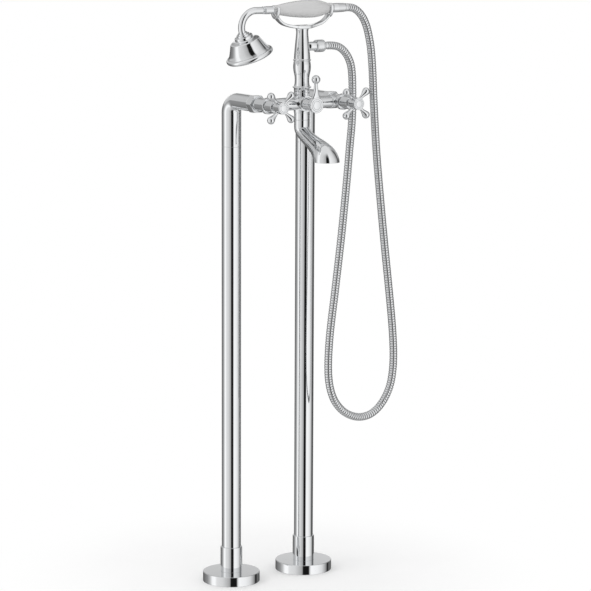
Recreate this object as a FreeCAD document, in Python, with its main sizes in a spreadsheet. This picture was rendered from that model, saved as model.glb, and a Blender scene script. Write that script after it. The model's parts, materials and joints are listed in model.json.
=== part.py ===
"""Floor standing bath filler with a cradled hand shower.

Frame: the origin is on the floor, midway between the two standpipes. +X runs to the right
hand (cold) standpipe, -Y is the front, where the spout and handles are, and +Z is up.
All sizes are millimetres and degrees.
"""

import FreeCAD, Part
import math
import os

import Sketcher

# ---------------------------------------------------------------- driving dimensions

SIZES = (
    # whole object
    ("leg_spacing", 150.0, "between the axes of the two standpipes"),
    ("axis_height", 840.0, "height of the mixer's axis above the floor"),
    ("bar_reach", 104.0, "from the standpipes' axes forward to the mixer bar's axis"),
    ("moving_gap", 0.3, "between pieces that move past each other"),
    ("running_fit", 0.08, "radial clearance of a turning spindle"),
    ("slip_fit", 0.1, "radial clearance of a fixed piece inside another"),
    # foot
    ("plate_radius", 46.5, "floor plate"),
    ("plate_thick", 12.0, "floor plate"),
    ("inlet_radius", 9.3, "floor plate's threaded water inlet"),
    ("plate_screw_circle", 34.0, "radius of the circle of floor screw holes"),
    ("plate_screw_radius", 2.75, "floor screw hole"),
    ("spigot_height", 34.0, "floor plate's spigot above the plate"),
    ("flange_radius", 49.5, "flange cover"),
    ("flange_height", 17.0, "flange cover"),
    ("flange_wall", 2.0, "flange cover"),
    ("flange_edge", 0.8, "rounding of the flange cover's upper edge"),
    ("collar_radius", 18.9, "collar"),
    ("collar_height", 44.0, "collar, above the flange cover"),
    ("collar_edge", 0.6, "chamfer of the collar's upper edge"),
    ("grub_radius", 2.0, "collar's grub screw"),
    ("grub_height", 9.0, "grub screw above the flange cover"),
    # standpipe and elbow
    ("pipe_radius", 16.65, "standpipe"),
    ("pipe_wall", 1.5, "standpipe"),
    ("tube_radius", 7.5, "supply tube"),
    ("tube_wall", 1.0, "supply tube"),
    ("seam_drop", 78.5, "from the mixer's axis down to the elbow's lower seam"),
    ("elbow_spigot", 16.0, "elbow's spigot inside the standpipe"),
    ("elbow_bend", 21.0, "elbow's bend radius, along its middle"),
    ("elbow_radius", 13.7, "elbow's forward arm"),
    ("elbow_reach", 69.6, "from the standpipe's axis to the end of the elbow's forward arm"),
    ("water_radius", 6.0, "water way through elbow and union"),
    ("tail_radius", 9.8, "elbow's tail inside the union nut"),
    ("tail_lip_length", 4.6, "tail behind its lip"),
    ("tail_lip_radius", 12.0, "tail's lip"),
    ("tail_lip_thick", 2.8, "tail's lip"),
    ("washer_thick", 2.0, "union washer"),
    ("nut_flats", 28.0, "union nut across its flats"),
    ("nut_length", 16.0, "union nut"),
    ("nut_chamfer", 2.2, "union nut, at both ends"),
    # valve body and bonnet
    ("body_radius", 11.8, "valve body"),
    ("thread_radius", 12.1, "valve body's threaded end"),
    ("chamber_depth", 8.0, "cartridge chamber behind the bar's axis"),
    ("body_front", 8.0, "valve body in front of the bar's axis"),
    ("boss_reach", 14.2, "from the valve body's axis to its boss's face"),
    ("boss_radius", 11.4, "valve body's boss"),
    ("ring_radius", 13.8, "bonnet's ring"),
    ("ring_length", 9.0, "bonnet's ring"),
    ("ring_edge", 1.6, "rounding of the bonnet's ring"),
    ("bonnet_radius", 11.6, "bonnet behind"),
    ("bonnet_tip_radius", 10.9, "bonnet in front"),
    ("bonnet_length", 21.0, "bonnet in front of its ring"),
    ("nose_radius", 8.8, "bonnet's nose"),
    ("nose_length", 6.0, "bonnet's nose"),
    ("cartridge_radius", 8.4, "cartridge"),
    ("cartridge_nose", 4.0, "bonnet's end wall, in front of the cartridge"),
    ("spindle_radius", 4.0, "spindle"),
    ("spindle_sunk", 6.0, "spindle inside the cartridge"),
    # cross handle
    ("hub_radius", 10.3, "cross handle's hub"),
    ("hub_length", 17.0, "cross handle's hub"),
    ("hub_edge", 1.2, "chamfer of the hub"),
    ("arm_place", 8.0, "arms' plane in front of the hub's rear face"),
    ("arm_reach", 27.8, "from the hub's axis to the centre of an arm's bulb"),
    ("arm_radius", 2.7, "arm at the hub"),
    ("arm_sunk", 3.0, "arm inside the hub"),
    ("bulb_radius", 6.5, "bulb"),
    ("bulb_join", 31.5, "degrees from an arm's axis to where its bulb begins"),
    ("cap_radius", 8.4, "handle cap"),
    ("cap_thick", 2.4, "handle cap at its rim"),
    ("cap_crown", 0.7, "rise of a cap's middle"),
    ("screw_head_radius", 3.6, "handle screw's head"),
    ("screw_head_length", 3.0, "handle screw's head"),
    ("screw_radius", 2.0, "handle screw"),
    ("screw_length", 8.0, "handle screw under its head"),
    ("spindle_seat", 9.0, "spindle inside the hub"),
    # mixer bar and diverter
    ("bar_radius", 10.0, "bar beside its end rings"),
    ("bar_middle_radius", 11.2, "bar beside the middle body"),
    ("bar_ring_radius", 11.5, "bar's end ring"),
    ("bar_ring_length", 4.0, "bar's end ring"),
    ("bar_bore", 6.0, "bar's water way"),
    ("middle_radius", 13.5, "middle body"),
    ("middle_rise", 19.0, "middle body above the axis"),
    ("middle_drop", 15.5, "middle body below the axis"),
    ("outlet_bore", 8.0, "middle body's water way to the spout"),
    ("riser_bore", 5.5, "water way through the riser"),
    ("diverter_length", 16.0, "diverter bonnet in front of its ring"),
    ("diverter_nose", 5.5, "diverter bonnet's nose"),
    ("diverter_tip_radius", 9.6, "diverter bonnet in front"),
    ("lever_radius", 13.1, "lever's disc"),
    ("lever_thick", 8.0, "lever's disc"),
    ("lever_seat", 3.6, "diverter spindle inside the lever"),
    ("lever_waist", 8.0, "lever's width where the disc runs out"),
    ("lever_waist_height", 20.0, "height of that place above the disc's axis"),
    ("lever_rod_radius", 3.3, "lever's rod"),
    ("lever_length", 43.0, "from the disc's axis to the ball's centre"),
    ("ball_radius", 7.3, "lever's ball"),
    ("lever_cap_radius", 10.0, "lever cap"),
    ("lever_cap_thick", 1.6, "lever cap at its rim"),
    ("lever_screw_head", 1.6, "lever screw's head length"),
    # spout
    ("tailpiece_radius", 12.8, "spout tailpiece"),
    ("tailpiece_length", 12.0, "spout tailpiece"),
    ("seam_edge", 0.4, "chamfer on both sides of the seam between tailpiece and spout"),
    ("heel_drop", 44.0, "centre of the spout's round heel below the mixer's axis"),
    ("heel_radius", 12.2, "spout's arm where it leaves the heel"),
    ("spout_wall", 2.4, "spout"),
    ("mouth_radius", 22.0, "spout's mouth"),
    ("mouth_reach", 76.0, "mouth's centre in front of the bar's axis"),
    ("mouth_drop", 92.0, "mouth below the mixer's axis"),
    ("neck_radius", 11.2, "spout's neck"),
    ("lip_wall", 1.4, "spout round its flow straightener"),
    ("straightener_thick", 1.6, "flow straightener"),
    ("straightener_height", 1.2, "flow straightener above the mouth"),
    ("straightener_hole", 1.3, "flow straightener's holes"),
    # riser
    ("riser_radius", 13.5, "riser's lower neck"),
    ("riser_neck_height", 7.0, "riser's lower neck"),
    ("riser_ring_radius", 15.8, "lower ring"),
    ("riser_ring_thick", 2.6, "rings"),
    ("waist_end_radius", 13.2, "baluster above the lower ring"),
    ("waist_height", 20.0, "hollow stretch of the baluster"),
    ("waist_curve", 52.0, "radius of the baluster's hollow"),
    ("swell_end_radius", 13.6, "baluster's top"),
    ("swell_height", 23.0, "swelling stretch of the baluster"),
    ("swell_curve", 46.0, "radius of the baluster's swell"),
    ("column_ring_radius", 15.1, "upper ring"),
    ("column_radius", 13.7, "column above its ring"),
    ("column_top_radius", 11.1, "column's top"),
    ("column_height", 51.2, "column above its ring"),
    ("outlet_rise", 95.0, "hose outlet above the mixer's axis"),
    ("stub_radius", 7.5, "hose outlet"),
    ("stub_reach", 26.0, "hose outlet's shoulder from the riser's axis"),
    ("stub_thread_radius", 7.0, "hose outlet's thread"),
    ("stub_thread_length", 10.0, "hose outlet's thread"),
    ("stub_bore", 4.5, "hose outlet's water way"),
    # cradle
    ("cradle_thick", 3.2, "cradle's strip"),
    ("cradle_width", 22.0, "cradle's strip"),
    ("cradle_flat", 24.0, "half length of the cradle's flat floor"),
    ("cradle_bend", 32.0, "outer radius of the cradle's bends"),
    ("cradle_slope", 62.0, "angle at which the strip meets its forks"),
    ("fork_inner", 50.8, "from the riser's axis to a fork's inner face"),
    ("fork_thick", 5.0, "fork"),
    ("fork_width", 26.6, "fork, across its tines"),
    ("fork_rise", 5.6, "tines above the handset's axis"),
    ("fork_foot", 17.0, "fork's foot below the handset's axis"),
    ("cradle_screw_radius", 2.0, "cradle screw"),
    ("cradle_screw_length", 10.0, "cradle screw under the strip"),
    ("cradle_screw_head", 4.2, "cradle screw's countersunk head"),
    # hand shower
    ("handset_rise", 158.0, "handset's axis above the mixer's axis"),
    ("grip_half", 56.8, "half length of the grip"),
    ("grip_neck", 6.2, "straight neck at each end of the grip"),
    ("grip_front_neck_radius", 7.8, "grip's neck at the gooseneck"),
    ("grip_rear_neck_radius", 8.6, "grip's neck at the hose"),
    ("grip_belly_radius", 14.9, "grip's belly"),
    ("grip_belly_place", 17.0, "belly from the riser's axis, towards the hose"),
    ("core_radius", 5.0, "core tube"),
    ("core_bore", 3.5, "core tube's water way"),
    ("core_overhang", 9.0, "core tube beyond each end of the grip"),
    ("front_ferrule_radius", 6.4, "front ferrule"),
    ("front_ferrule_flange", 7.4, "front ferrule where it meets the grip"),
    ("front_ferrule_length", 21.0, "front ferrule"),
    ("rear_ferrule_radius", 8.2, "rear ferrule at the grip"),
    ("rear_ferrule_tip_radius", 7.4, "rear ferrule at the hose"),
    ("rear_ferrule_length", 28.2, "rear ferrule"),
    ("gooseneck_radius", 5.75, "gooseneck tube"),
    ("gooseneck_bore", 4.0, "gooseneck's water way"),
    ("gooseneck_straight", 14.2, "gooseneck in front of its ferrule"),
    ("gooseneck_bend", 27.5, "gooseneck's bend radius, along its middle"),
    ("head_tilt", 21.0, "head's axis from the vertical"),
    ("head_nut_radius", 15.4, "head nut, lower edge"),
    ("head_nut_top_radius", 12.0, "head nut, upper edge"),
    ("head_nut_length", 9.0, "head nut"),
    ("bell_shoulder_radius", 25.0, "bell's shoulder"),
    ("bell_shoulder_drop", 3.5, "bell's shoulder below the nut"),
    ("bell_radius", 36.0, "bell at the rim"),
    ("bell_length", 26.0, "bell"),
    ("bell_wall", 2.0, "bell"),
    ("rim_radius", 40.2, "head rim"),
    ("rim_length", 8.0, "head rim"),
    ("rim_lip", 3.0, "head rim, inside the bell's wall"),
    ("spray_plate_thick", 3.0, "spray plate"),
    ("spray_plate_recess", 1.2, "spray plate behind the rim's face"),
    ("spray_hole_radius", 0.9, "spray plate's holes"),
    # hose
    ("hose_nut_radius", 10.4, "hose outlet nut"),
    ("hose_nut_length", 18.0, "hose outlet nut"),
    ("hose_nut_edge", 1.2, "chamfer of the hose outlet nut"),
    ("hose_washer_thick", 2.0, "hose washer"),
    ("hose_flange_thick", 2.4, "outlet ferrule's flange"),
    ("hose_ferrule_radius", 6.2, "outlet ferrule"),
    ("hose_ferrule_reach", 50.0, "outlet ferrule's end from the riser's axis"),
    ("handset_ferrule_radius", 7.0, "handset's hose ferrule"),
    ("handset_ferrule_length", 3.0, "handset's hose ferrule"),
    ("hose_radius", 6.7, "hose over its ribs"),
    ("rib_height", 0.6, "hose's ribs"),
    ("hose_bore", 4.0, "hose's bore"),
)

SCREW_HOLES = 4
HANDLE_ARMS = 4
HEX_SIDES = 6
SPRAY_RINGS = ((9.0, 6), (18.0, 12), (27.0, 18))
STRAIGHTENER_RINGS = ((4.6, 6), (9.2, 12))
HOSE_RIBS = 196

# The hose's route from the riser's outlet to the handset, as places along X from the riser's
# axis and heights above the floor. Its two ends follow the outlet and the handset.
HOSE_TURNS = (
    (74.0, 934.5),
    (93.0, 923.5),
    (104.0, 904.5),
    (104.5, 866.0),
    (102.5, 812.0),
    (98.0, 760.0),
    (91.0, 692.0),
    (82.0, 608.0),
    (70.5, 524.0),
    (60.5, 444.0),
    (55.5, 390.0),
    (57.5, 343.0),
    (74.5, 307.5),
    (105.5, 287.0),
    (141.5, 287.5),
    (172.5, 307.5),
    (190.5, 343.5),
    (194.5, 390.0),
    (189.5, 446.0),
    (178.9, 534.0),
    (167.6, 622.0),
    (157.5, 708.0),
    (150.0, 786.0),
    (145.5, 858.0),
    (143.5, 922.0),
    (141.5, 965.5),
    (130.7, 986.3),
    (112.0, 998.0),
)
ARC_SHARE = 0.45


# ---------------------------------------------------------------- sizes as formulas


class Size:
    """A size known both as a formula over the sheet's cells and as a number."""

    def __init__(self, text, value):
        self.text = text
        self.value = float(value)

    def joined(self, sign, other, value):
        return Size("(%s %s %s)" % (self.text, sign, other.text), value)

    def __add__(self, other):
        other = as_size(other)
        return self.joined("+", other, self.value + other.value)

    def __sub__(self, other):
        other = as_size(other)
        return self.joined("-", other, self.value - other.value)

    def __mul__(self, other):
        other = as_size(other)
        return self.joined("*", other, self.value * other.value)

    def __truediv__(self, other):
        other = as_size(other)
        return self.joined("/", other, self.value / other.value)

    def __radd__(self, other):
        return as_size(other) + self

    def __rsub__(self, other):
        return as_size(other) - self

    def __rmul__(self, other):
        return as_size(other) * self

    def __neg__(self):
        return as_size(0) - self


def as_size(number):
    """Give a plain number the same form as a size."""
    if isinstance(number, Size):
        return number
    return Size(repr(float(number)), number)


def sine(angle):
    """Sine of an angle in degrees."""
    return Size("sin(%s)" % angle.text, math.sin(math.radians(angle.value)))


def cosine(angle):
    """Cosine of an angle in degrees."""
    return Size("cos(%s)" % angle.text, math.cos(math.radians(angle.value)))


class Sheet:
    """The document's table of driving dimensions, one attribute for each."""

    def __init__(self, document):
        cells = document.addObject("Spreadsheet::Sheet", "Sizes")
        for row, (alias, value, meaning) in enumerate(SIZES, start=1):
            cells.set("A%d" % row, alias)
            cells.set("B%d" % row, repr(value))
            cells.set("C%d" % row, meaning)
            cells.setAlias("B%d" % row, alias)
        for alias, value, _ in SIZES:
            setattr(self, alias, Size("Sizes." + alias, value))


doc = FreeCAD.newDocument("BathFiller")
of = Sheet(doc)
doc.recompute()

AXIS_X = FreeCAD.Vector(1, 0, 0)
AXIS_Y = FreeCAD.Vector(0, 1, 0)
AXIS_Z = FreeCAD.Vector(0, 0, 1)
ORIGIN = FreeCAD.Vector(0, 0, 0)
QUARTER = 90.0
NO_TURN = FreeCAD.Rotation()
# A lathe-turned piece is drawn along its own +Z; these turns point it another way.
FORWARD = FreeCAD.Rotation(AXIS_X, QUARTER)
TO_RIGHT = FreeCAD.Rotation(AXIS_Y, QUARTER)
TO_LEFT = FreeCAD.Rotation(AXIS_Y, -QUARTER)

NODES = []


# ---------------------------------------------------------------- making pieces


def place(piece, x, y, z, turn=NO_TURN):
    """Put a piece at x, y, z, with those places bound to the sheet."""
    spot = [as_size(value) for value in (x, y, z)]
    base = FreeCAD.Vector(*[value.value for value in spot])
    piece.Placement = FreeCAD.Placement(base, turn)
    for axis, value in zip("xyz", spot):
        piece.setExpression("Placement.Base." + axis, value.text)
    return piece


def lean_back(piece, angle):
    """Lean a placed piece from the Z axis towards -X by an angle bound to the sheet."""
    piece.Placement.Rotation = FreeCAD.Rotation(-AXIS_Y, angle.value)
    for axis, share in zip("xyz", ("0", "-1", "0")):
        piece.setExpression("Placement.Rotation.Axis." + axis, share)
    piece.setExpression("Placement.Rotation.Angle", angle.text)
    return piece


def bound(piece, **sizes):
    """Bind a piece's own properties to the sheet."""
    for name, value in sizes.items():
        value = as_size(value)
        setattr(piece, name, value.value)
        piece.setExpression(name, value.text)
    return piece


def node(label, piece):
    """Name a finished piece and list it for writing."""
    piece.Label = label
    NODES.append(piece)
    return piece


def origin_plane(body, role):
    """One of a body's own origin planes."""
    for feature in body.Origin.OriginFeatures:
        if feature.Role == role:
            return feature
    raise ValueError(role)


def arc_middle(start, end, radius):
    """Middle of an arc; a positive radius bulges to the right of the way along."""
    chord = end - start
    side = FreeCAD.Vector(chord.y, -chord.x, 0)
    side.normalize()
    half = chord.Length / 2.0
    sagitta = abs(radius) - math.sqrt(radius * radius - half * half)
    return (start + end) * 0.5 + side * math.copysign(sagitta, radius)


def add_stretch(sketch, start, end, radius):
    """Add one straight or round stretch of an outline; return it with its first and last ends."""
    if radius is None:
        return sketch.addGeometry(Part.LineSegment(start, end), False), 1, 2
    middle = arc_middle(start, end, radius.value)
    if radius.value > 0:
        return sketch.addGeometry(Part.Arc(start, middle, end), False), 1, 2
    return sketch.addGeometry(Part.Arc(end, middle, start), False), 2, 1


def outline(body, name, role, points):
    """A closed sketch through points given as (across, along) or (across, along, radius).

    A radius makes the stretch that starts at its point an arc.
    """
    sketch = body.newObject("Sketcher::SketchObject", name)
    sketch.AttachmentSupport = [(origin_plane(body, role), "")]
    sketch.MapMode = "FlatFace"
    corners = [(as_size(point[0]), as_size(point[1])) for point in points]
    rounds = [as_size(point[2]) if len(point) > 2 else None for point in points]
    spots = [FreeCAD.Vector(across.value, along.value, 0) for across, along in corners]
    stretches = []
    for index, radius in enumerate(rounds):
        following = spots[(index + 1) % len(spots)]
        stretches.append(add_stretch(sketch, spots[index], following, radius))
    for index, (geometry, first, last) in enumerate(stretches):
        following, next_first, _ = stretches[(index + 1) % len(stretches)]
        sketch.addConstraint(Sketcher.Constraint("Coincident", geometry, last, following, next_first))
    for (geometry, first, _), (across, along) in zip(stretches, corners):
        for kind, size in (("DistanceX", across), ("DistanceY", along)):
            rule = Sketcher.Constraint(kind, -1, 1, geometry, first, size.value)
            number = sketch.addConstraint(rule)
            sketch.setExpression("Constraints[%d]" % number, size.text)
    for (geometry, _, _), radius in zip(stretches, rounds):
        if radius is not None:
            number = sketch.addConstraint(Sketcher.Constraint("Radius", geometry, abs(radius.value)))
            text = radius.text if radius.value > 0 else (-radius).text
            sketch.setExpression("Constraints[%d]" % number, text)
    return sketch


def turned(name, points):
    """A lathe-turned body about its own Z axis, from (radius, height) points."""
    body = doc.addObject("PartDesign::Body", name)
    sketch = outline(body, name + "_outline", "XZ_Plane", points)
    sketch.Visibility = False
    solid = body.newObject("PartDesign::Revolution", name + "_turning")
    solid.Profile = sketch
    solid.ReferenceAxis = (sketch, ["V_Axis"])
    solid.Angle = 360.0
    return body


def cylinder(name, radius, height):
    return bound(doc.addObject("Part::Cylinder", name), Radius=radius, Height=height)


def cone(name, radius, far_radius, height):
    return bound(doc.addObject("Part::Cone", name), Radius1=radius, Radius2=far_radius, Height=height)


def sphere(name, radius):
    return bound(doc.addObject("Part::Sphere", name), Radius=radius)


def box(name, length, width, height):
    return bound(doc.addObject("Part::Box", name), Length=length, Width=width, Height=height)


def bend(name, bend_radius, tube_radius, angle):
    """A stretch of round bar bent about its own Z axis, from its own +X axis."""
    ring = doc.addObject("Part::Torus", name)
    return bound(ring, Radius1=bend_radius, Radius2=tube_radius, Angle3=angle)


def fused(name, pieces):
    union = doc.addObject("Part::MultiFuse", name)
    union.Shapes = pieces
    union.Refine = True
    return union


def without(name, piece, tools):
    """A piece with one or more tools cut out of it, one after the other."""
    for number, tool in enumerate(tools):
        rest = doc.addObject("Part::Cut", "%s_cut_%d" % (name, number))
        rest.Base = piece
        rest.Tool = tool
        rest.Refine = False
        piece = rest
    return piece


def lofted(name, rings):
    """A smooth solid through rings given as (radius, forward, height, tilt).

    Each ring lies in the plane that crosses the middle of the object from back to front. Its
    tilt is the angle between its axis and the downward vertical, towards the front.
    """
    circles = []
    for number, (radius, forward, height, lean) in enumerate(rings):
        circle = bound(doc.addObject("Part::Circle", "%s_ring_%d" % (name, number)), Radius=radius)
        place(circle, 0, -as_size(forward), height, FreeCAD.Rotation(AXIS_X, -lean))
        circles.append(circle)
    loft = doc.addObject("Part::Loft", name)
    loft.Sections = circles
    loft.Solid = True
    loft.Ruled = False
    return loft


def polar_holes(body, thickness, rings, radius, prefix):
    """Cut rings of round holes through a disc whose lower face is its own XY plane."""
    doc.recompute()
    for number, (circle_radius, count) in enumerate(rings):
        sketch = body.newObject("Sketcher::SketchObject", "%s_hole_%d" % (prefix, number))
        sketch.AttachmentSupport = [(origin_plane(body, "XY_Plane"), "")]
        sketch.MapMode = "FlatFace"
        centre = FreeCAD.Vector(circle_radius, 0, 0)
        sketch.addGeometry(Part.Circle(centre, AXIS_Z, radius.value), False)
        sketch.addConstraint(Sketcher.Constraint("PointOnObject", 0, 3, -1))
        sketch.addConstraint(Sketcher.Constraint("DistanceX", -1, 1, 0, 3, circle_radius))
        rule = sketch.addConstraint(Sketcher.Constraint("Radius", 0, radius.value))
        sketch.setExpression("Constraints[%d]" % rule, radius.text)
        hole = body.newObject("PartDesign::Pocket", "%s_cut_%d" % (prefix, number))
        hole.Profile = sketch
        bound(hole, Length=thickness * 2)
        hole.Midplane = True
        pattern = body.newObject("PartDesign::PolarPattern", "%s_pattern_%d" % (prefix, number))
        pattern.Originals = [hole]
        pattern.Axis = (sketch, ["N_Axis"])
        pattern.Angle = 360.0
        pattern.Occurrences = count
        body.Tip = pattern
        doc.recompute()


# ---------------------------------------------------------------- places shared by pieces

seam_height = of.axis_height - of.seam_drop
pipe_bore = of.pipe_radius - of.pipe_wall
tail_length = of.tail_lip_length + of.tail_lip_thick
thread_start = of.elbow_reach + tail_length + of.washer_thick
nut_end = of.elbow_reach + of.moving_gap + of.nut_length
ring_start = of.bar_reach + of.body_front
chamber_start = of.bar_reach - of.chamber_depth
outlet_height = of.axis_height + of.outlet_rise
handset_height = of.axis_height + of.handset_rise
riser_foot = of.axis_height + of.middle_rise
baluster_height = of.riser_neck_height + of.riser_ring_thick + of.waist_height + of.swell_height
column_foot = riser_foot + baluster_height
cradle_floor = column_foot + of.riser_ring_thick + of.column_height
spout_top = of.axis_height - of.middle_drop - of.tailpiece_length
bead_rise = of.riser_ring_thick * 0.4
bead_curve = bead_rise / 2.0 + of.riser_ring_thick * of.riser_ring_thick / (bead_rise * 8.0)


# ---------------------------------------------------------------- foot


def floor_plate(side, x):
    plate = turned(side + "_plate", (
        (of.inlet_radius, 0),
        (of.plate_radius, 0),
        (of.plate_radius, of.plate_thick),
        (pipe_bore - of.slip_fit, of.plate_thick),
        (pipe_bore - of.slip_fit, of.plate_thick + of.spigot_height),
        (of.tube_radius + of.slip_fit, of.plate_thick + of.spigot_height),
        (of.tube_radius + of.slip_fit, of.plate_thick),
        (of.inlet_radius, of.plate_thick),
    ))
    place(plate, x, 0, 0)
    holes = []
    for number in range(SCREW_HOLES):
        turn = math.radians(360.0 * number / SCREW_HOLES)
        hole = cylinder("%s_screw_hole_%d" % (side, number), of.plate_screw_radius, of.plate_thick)
        across = x + of.plate_screw_circle * math.cos(turn)
        holes.append(place(hole, across, of.plate_screw_circle * math.sin(turn), 0))
    node(side + "_floor_plate", without(side + "_floor_plate", plate, holes))


def flange_cover(side, x):
    hole = of.pipe_radius + of.slip_fit
    edge = of.flange_edge
    cover = turned(side + "_flange_cover", (
        (of.flange_radius - of.flange_wall, 0),
        (of.flange_radius, 0),
        (of.flange_radius, of.flange_height - edge, edge),
        (of.flange_radius - edge, of.flange_height),
        (hole, of.flange_height),
        (hole, of.flange_height - of.flange_wall),
        (of.flange_radius - of.flange_wall, of.flange_height - of.flange_wall),
    ))
    node(side + "_flange_cover", place(cover, x, 0, 0))


def collar(side, x):
    edge = of.collar_edge
    sleeve = turned(side + "_sleeve", (
        (of.pipe_radius + of.slip_fit, 0),
        (of.collar_radius, 0),
        (of.collar_radius, of.collar_height - edge),
        (of.collar_radius - edge, of.collar_height),
        (of.pipe_radius + of.slip_fit, of.collar_height),
    ))
    place(sleeve, x, 0, of.flange_height)
    hole = cylinder(side + "_grub_hole", of.grub_radius + of.slip_fit, of.collar_radius)
    place(hole, x, of.collar_radius, of.flange_height + of.grub_height, FORWARD)
    node(side + "_collar", without(side + "_collar", sleeve, [hole]))


def collar_screws(sides):
    """The two grub screws at the backs of the collars."""
    screws = []
    for side, x in sides:
        length = of.collar_radius - of.pipe_radius
        screw = cylinder(side + "_grub_screw", of.grub_radius, length)
        screws.append(place(screw, x, of.collar_radius, of.flange_height + of.grub_height, FORWARD))
    group = doc.addObject("Part::Compound", "collar_screws")
    group.Links = screws
    node("collar_screws", group)


# ---------------------------------------------------------------- standpipe and elbow


def standpipe(side, x):
    pipe = turned(side + "_standpipe", (
        (pipe_bore, 0),
        (of.pipe_radius, 0),
        (of.pipe_radius, seam_height - of.plate_thick),
        (pipe_bore, seam_height - of.plate_thick),
    ))
    node(side + "_standpipe", place(pipe, x, 0, of.plate_thick))


def supply_tube(side, x):
    length = seam_height - of.plate_thick
    tube = turned(side + "_supply_tube", (
        (of.tube_radius - of.tube_wall, 0),
        (of.tube_radius, 0),
        (of.tube_radius, length),
        (of.tube_radius - of.tube_wall, length),
    ))
    node(side + "_supply_tube", place(tube, x, 0, of.plate_thick))


def elbow_bend(name, x, foot_radius, arm_radius):
    """A quarter bend from straight up to straight forward whose radius changes steadily."""
    steps = (0.0, 30.0, 60.0, QUARTER)
    circles = []
    for number, angle in enumerate(steps):
        share = angle / QUARTER
        radius = foot_radius * (1.0 - share) + arm_radius * share
        circle = bound(doc.addObject("Part::Circle", "%s_ring_%d" % (name, number)), Radius=radius)
        forward = of.elbow_bend * (1.0 - math.cos(math.radians(angle)))
        height = of.axis_height - of.elbow_bend * (1.0 - math.sin(math.radians(angle)))
        place(circle, x, -forward, height, FreeCAD.Rotation(AXIS_X, angle))
        circles.append(circle)
    loft = doc.addObject("Part::Loft", name)
    loft.Sections = circles
    loft.Solid = True
    return loft


def elbow(side, x):
    foot = turned(side + "_elbow_foot", (
        (0, -of.elbow_spigot),
        (pipe_bore - of.slip_fit, -of.elbow_spigot),
        (pipe_bore - of.slip_fit, 0),
        (of.pipe_radius, 0),
        (of.pipe_radius, of.seam_drop - of.elbow_bend),
        (0, of.seam_drop - of.elbow_bend),
    ))
    place(foot, x, 0, seam_height)
    quarter = elbow_bend(side + "_elbow_bend", x, of.pipe_radius, of.elbow_radius)
    arm_end = of.elbow_reach - of.elbow_bend
    arm = turned(side + "_elbow_arm", (
        (0, 0),
        (of.elbow_radius, 0),
        (of.elbow_radius, arm_end),
        (of.tail_radius, arm_end),
        (of.tail_radius, arm_end + of.tail_lip_length),
        (of.tail_lip_radius, arm_end + of.tail_lip_length),
        (of.tail_lip_radius, arm_end + tail_length),
        (0, arm_end + tail_length),
    ))
    place(arm, x, -of.elbow_bend, of.axis_height, FORWARD)
    casting = fused(side + "_elbow_casting", [foot, quarter, arm])
    socket = cylinder(side + "_elbow_socket", of.tube_radius + of.slip_fit, of.elbow_spigot)
    place(socket, x, 0, seam_height - of.elbow_spigot)
    rise = cylinder(side + "_elbow_rise", of.water_radius, of.seam_drop - of.elbow_bend)
    place(rise, x, 0, seam_height)
    turn = bend(side + "_elbow_way", of.elbow_bend, of.water_radius, QUARTER)
    upright = FreeCAD.Rotation(AXIS_Y, AXIS_Z, AXIS_X, "ZXY")
    place(turn, x, -of.elbow_bend, of.axis_height - of.elbow_bend, upright)
    way = cylinder(side + "_elbow_forward", of.water_radius, arm_end + tail_length)
    place(way, x, -of.elbow_bend, of.axis_height, FORWARD)
    shape = without(side + "_elbow", casting, [socket, rise, turn, way])
    node(side + "_elbow", shape)


def union_nut(side, x):
    corner = of.nut_flats / 2.0 * (2.0 / math.sqrt(3.0))
    prism = bound(doc.addObject("Part::Prism", side + "_nut_hexagon"),
                  Circumradius=corner, Height=of.nut_length)
    prism.Polygon = HEX_SIDES
    start = of.elbow_reach + of.moving_gap
    place(prism, x, -start, of.axis_height, FORWARD)
    flats = of.nut_flats / 2.0
    form = turned(side + "_nut_form", (
        (0, 0),
        (flats, 0),
        (corner + of.slip_fit, of.nut_chamfer / 2.0),
        (corner + of.slip_fit, of.nut_length - of.nut_chamfer / 2.0),
        (flats, of.nut_length),
        (0, of.nut_length),
    ))
    place(form, x, -start, of.axis_height, FORWARD)
    rounded = doc.addObject("Part::Common", side + "_nut_rounded")
    rounded.Base = prism
    rounded.Tool = form
    lip = of.tail_lip_length - of.moving_gap
    hole = turned(side + "_nut_hole", (
        (0, 0),
        (of.tail_radius + of.slip_fit, 0),
        (of.tail_radius + of.slip_fit, lip),
        (of.thread_radius + of.slip_fit, lip),
        (of.thread_radius + of.slip_fit, of.nut_length),
        (0, of.nut_length),
    ))
    place(hole, x, -start, of.axis_height, FORWARD)
    node(side + "_union_nut", without(side + "_union_nut", rounded, [hole]))


def union_washers(sides):
    washers = []
    for side, x in sides:
        washer = turned(side + "_washer", (
            (of.water_radius, 0),
            (of.tail_lip_radius, 0),
            (of.tail_lip_radius, of.washer_thick),
            (of.water_radius, of.washer_thick),
        ))
        place(washer, x, -(of.elbow_reach + tail_length), of.axis_height, FORWARD)
        washers.append(washer)
    group = doc.addObject("Part::Compound", "union_washers")
    group.Links = washers
    node("union_washers", group)


# ---------------------------------------------------------------- valves and handles


def bonnet_seat(name, x, depth):
    """Room for a bonnet's ring in front of the flat face that it is screwed against."""
    seat = cylinder(name, of.ring_radius + of.slip_fit, depth)
    return place(seat, x, -ring_start, of.axis_height, FORWARD)


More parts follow.
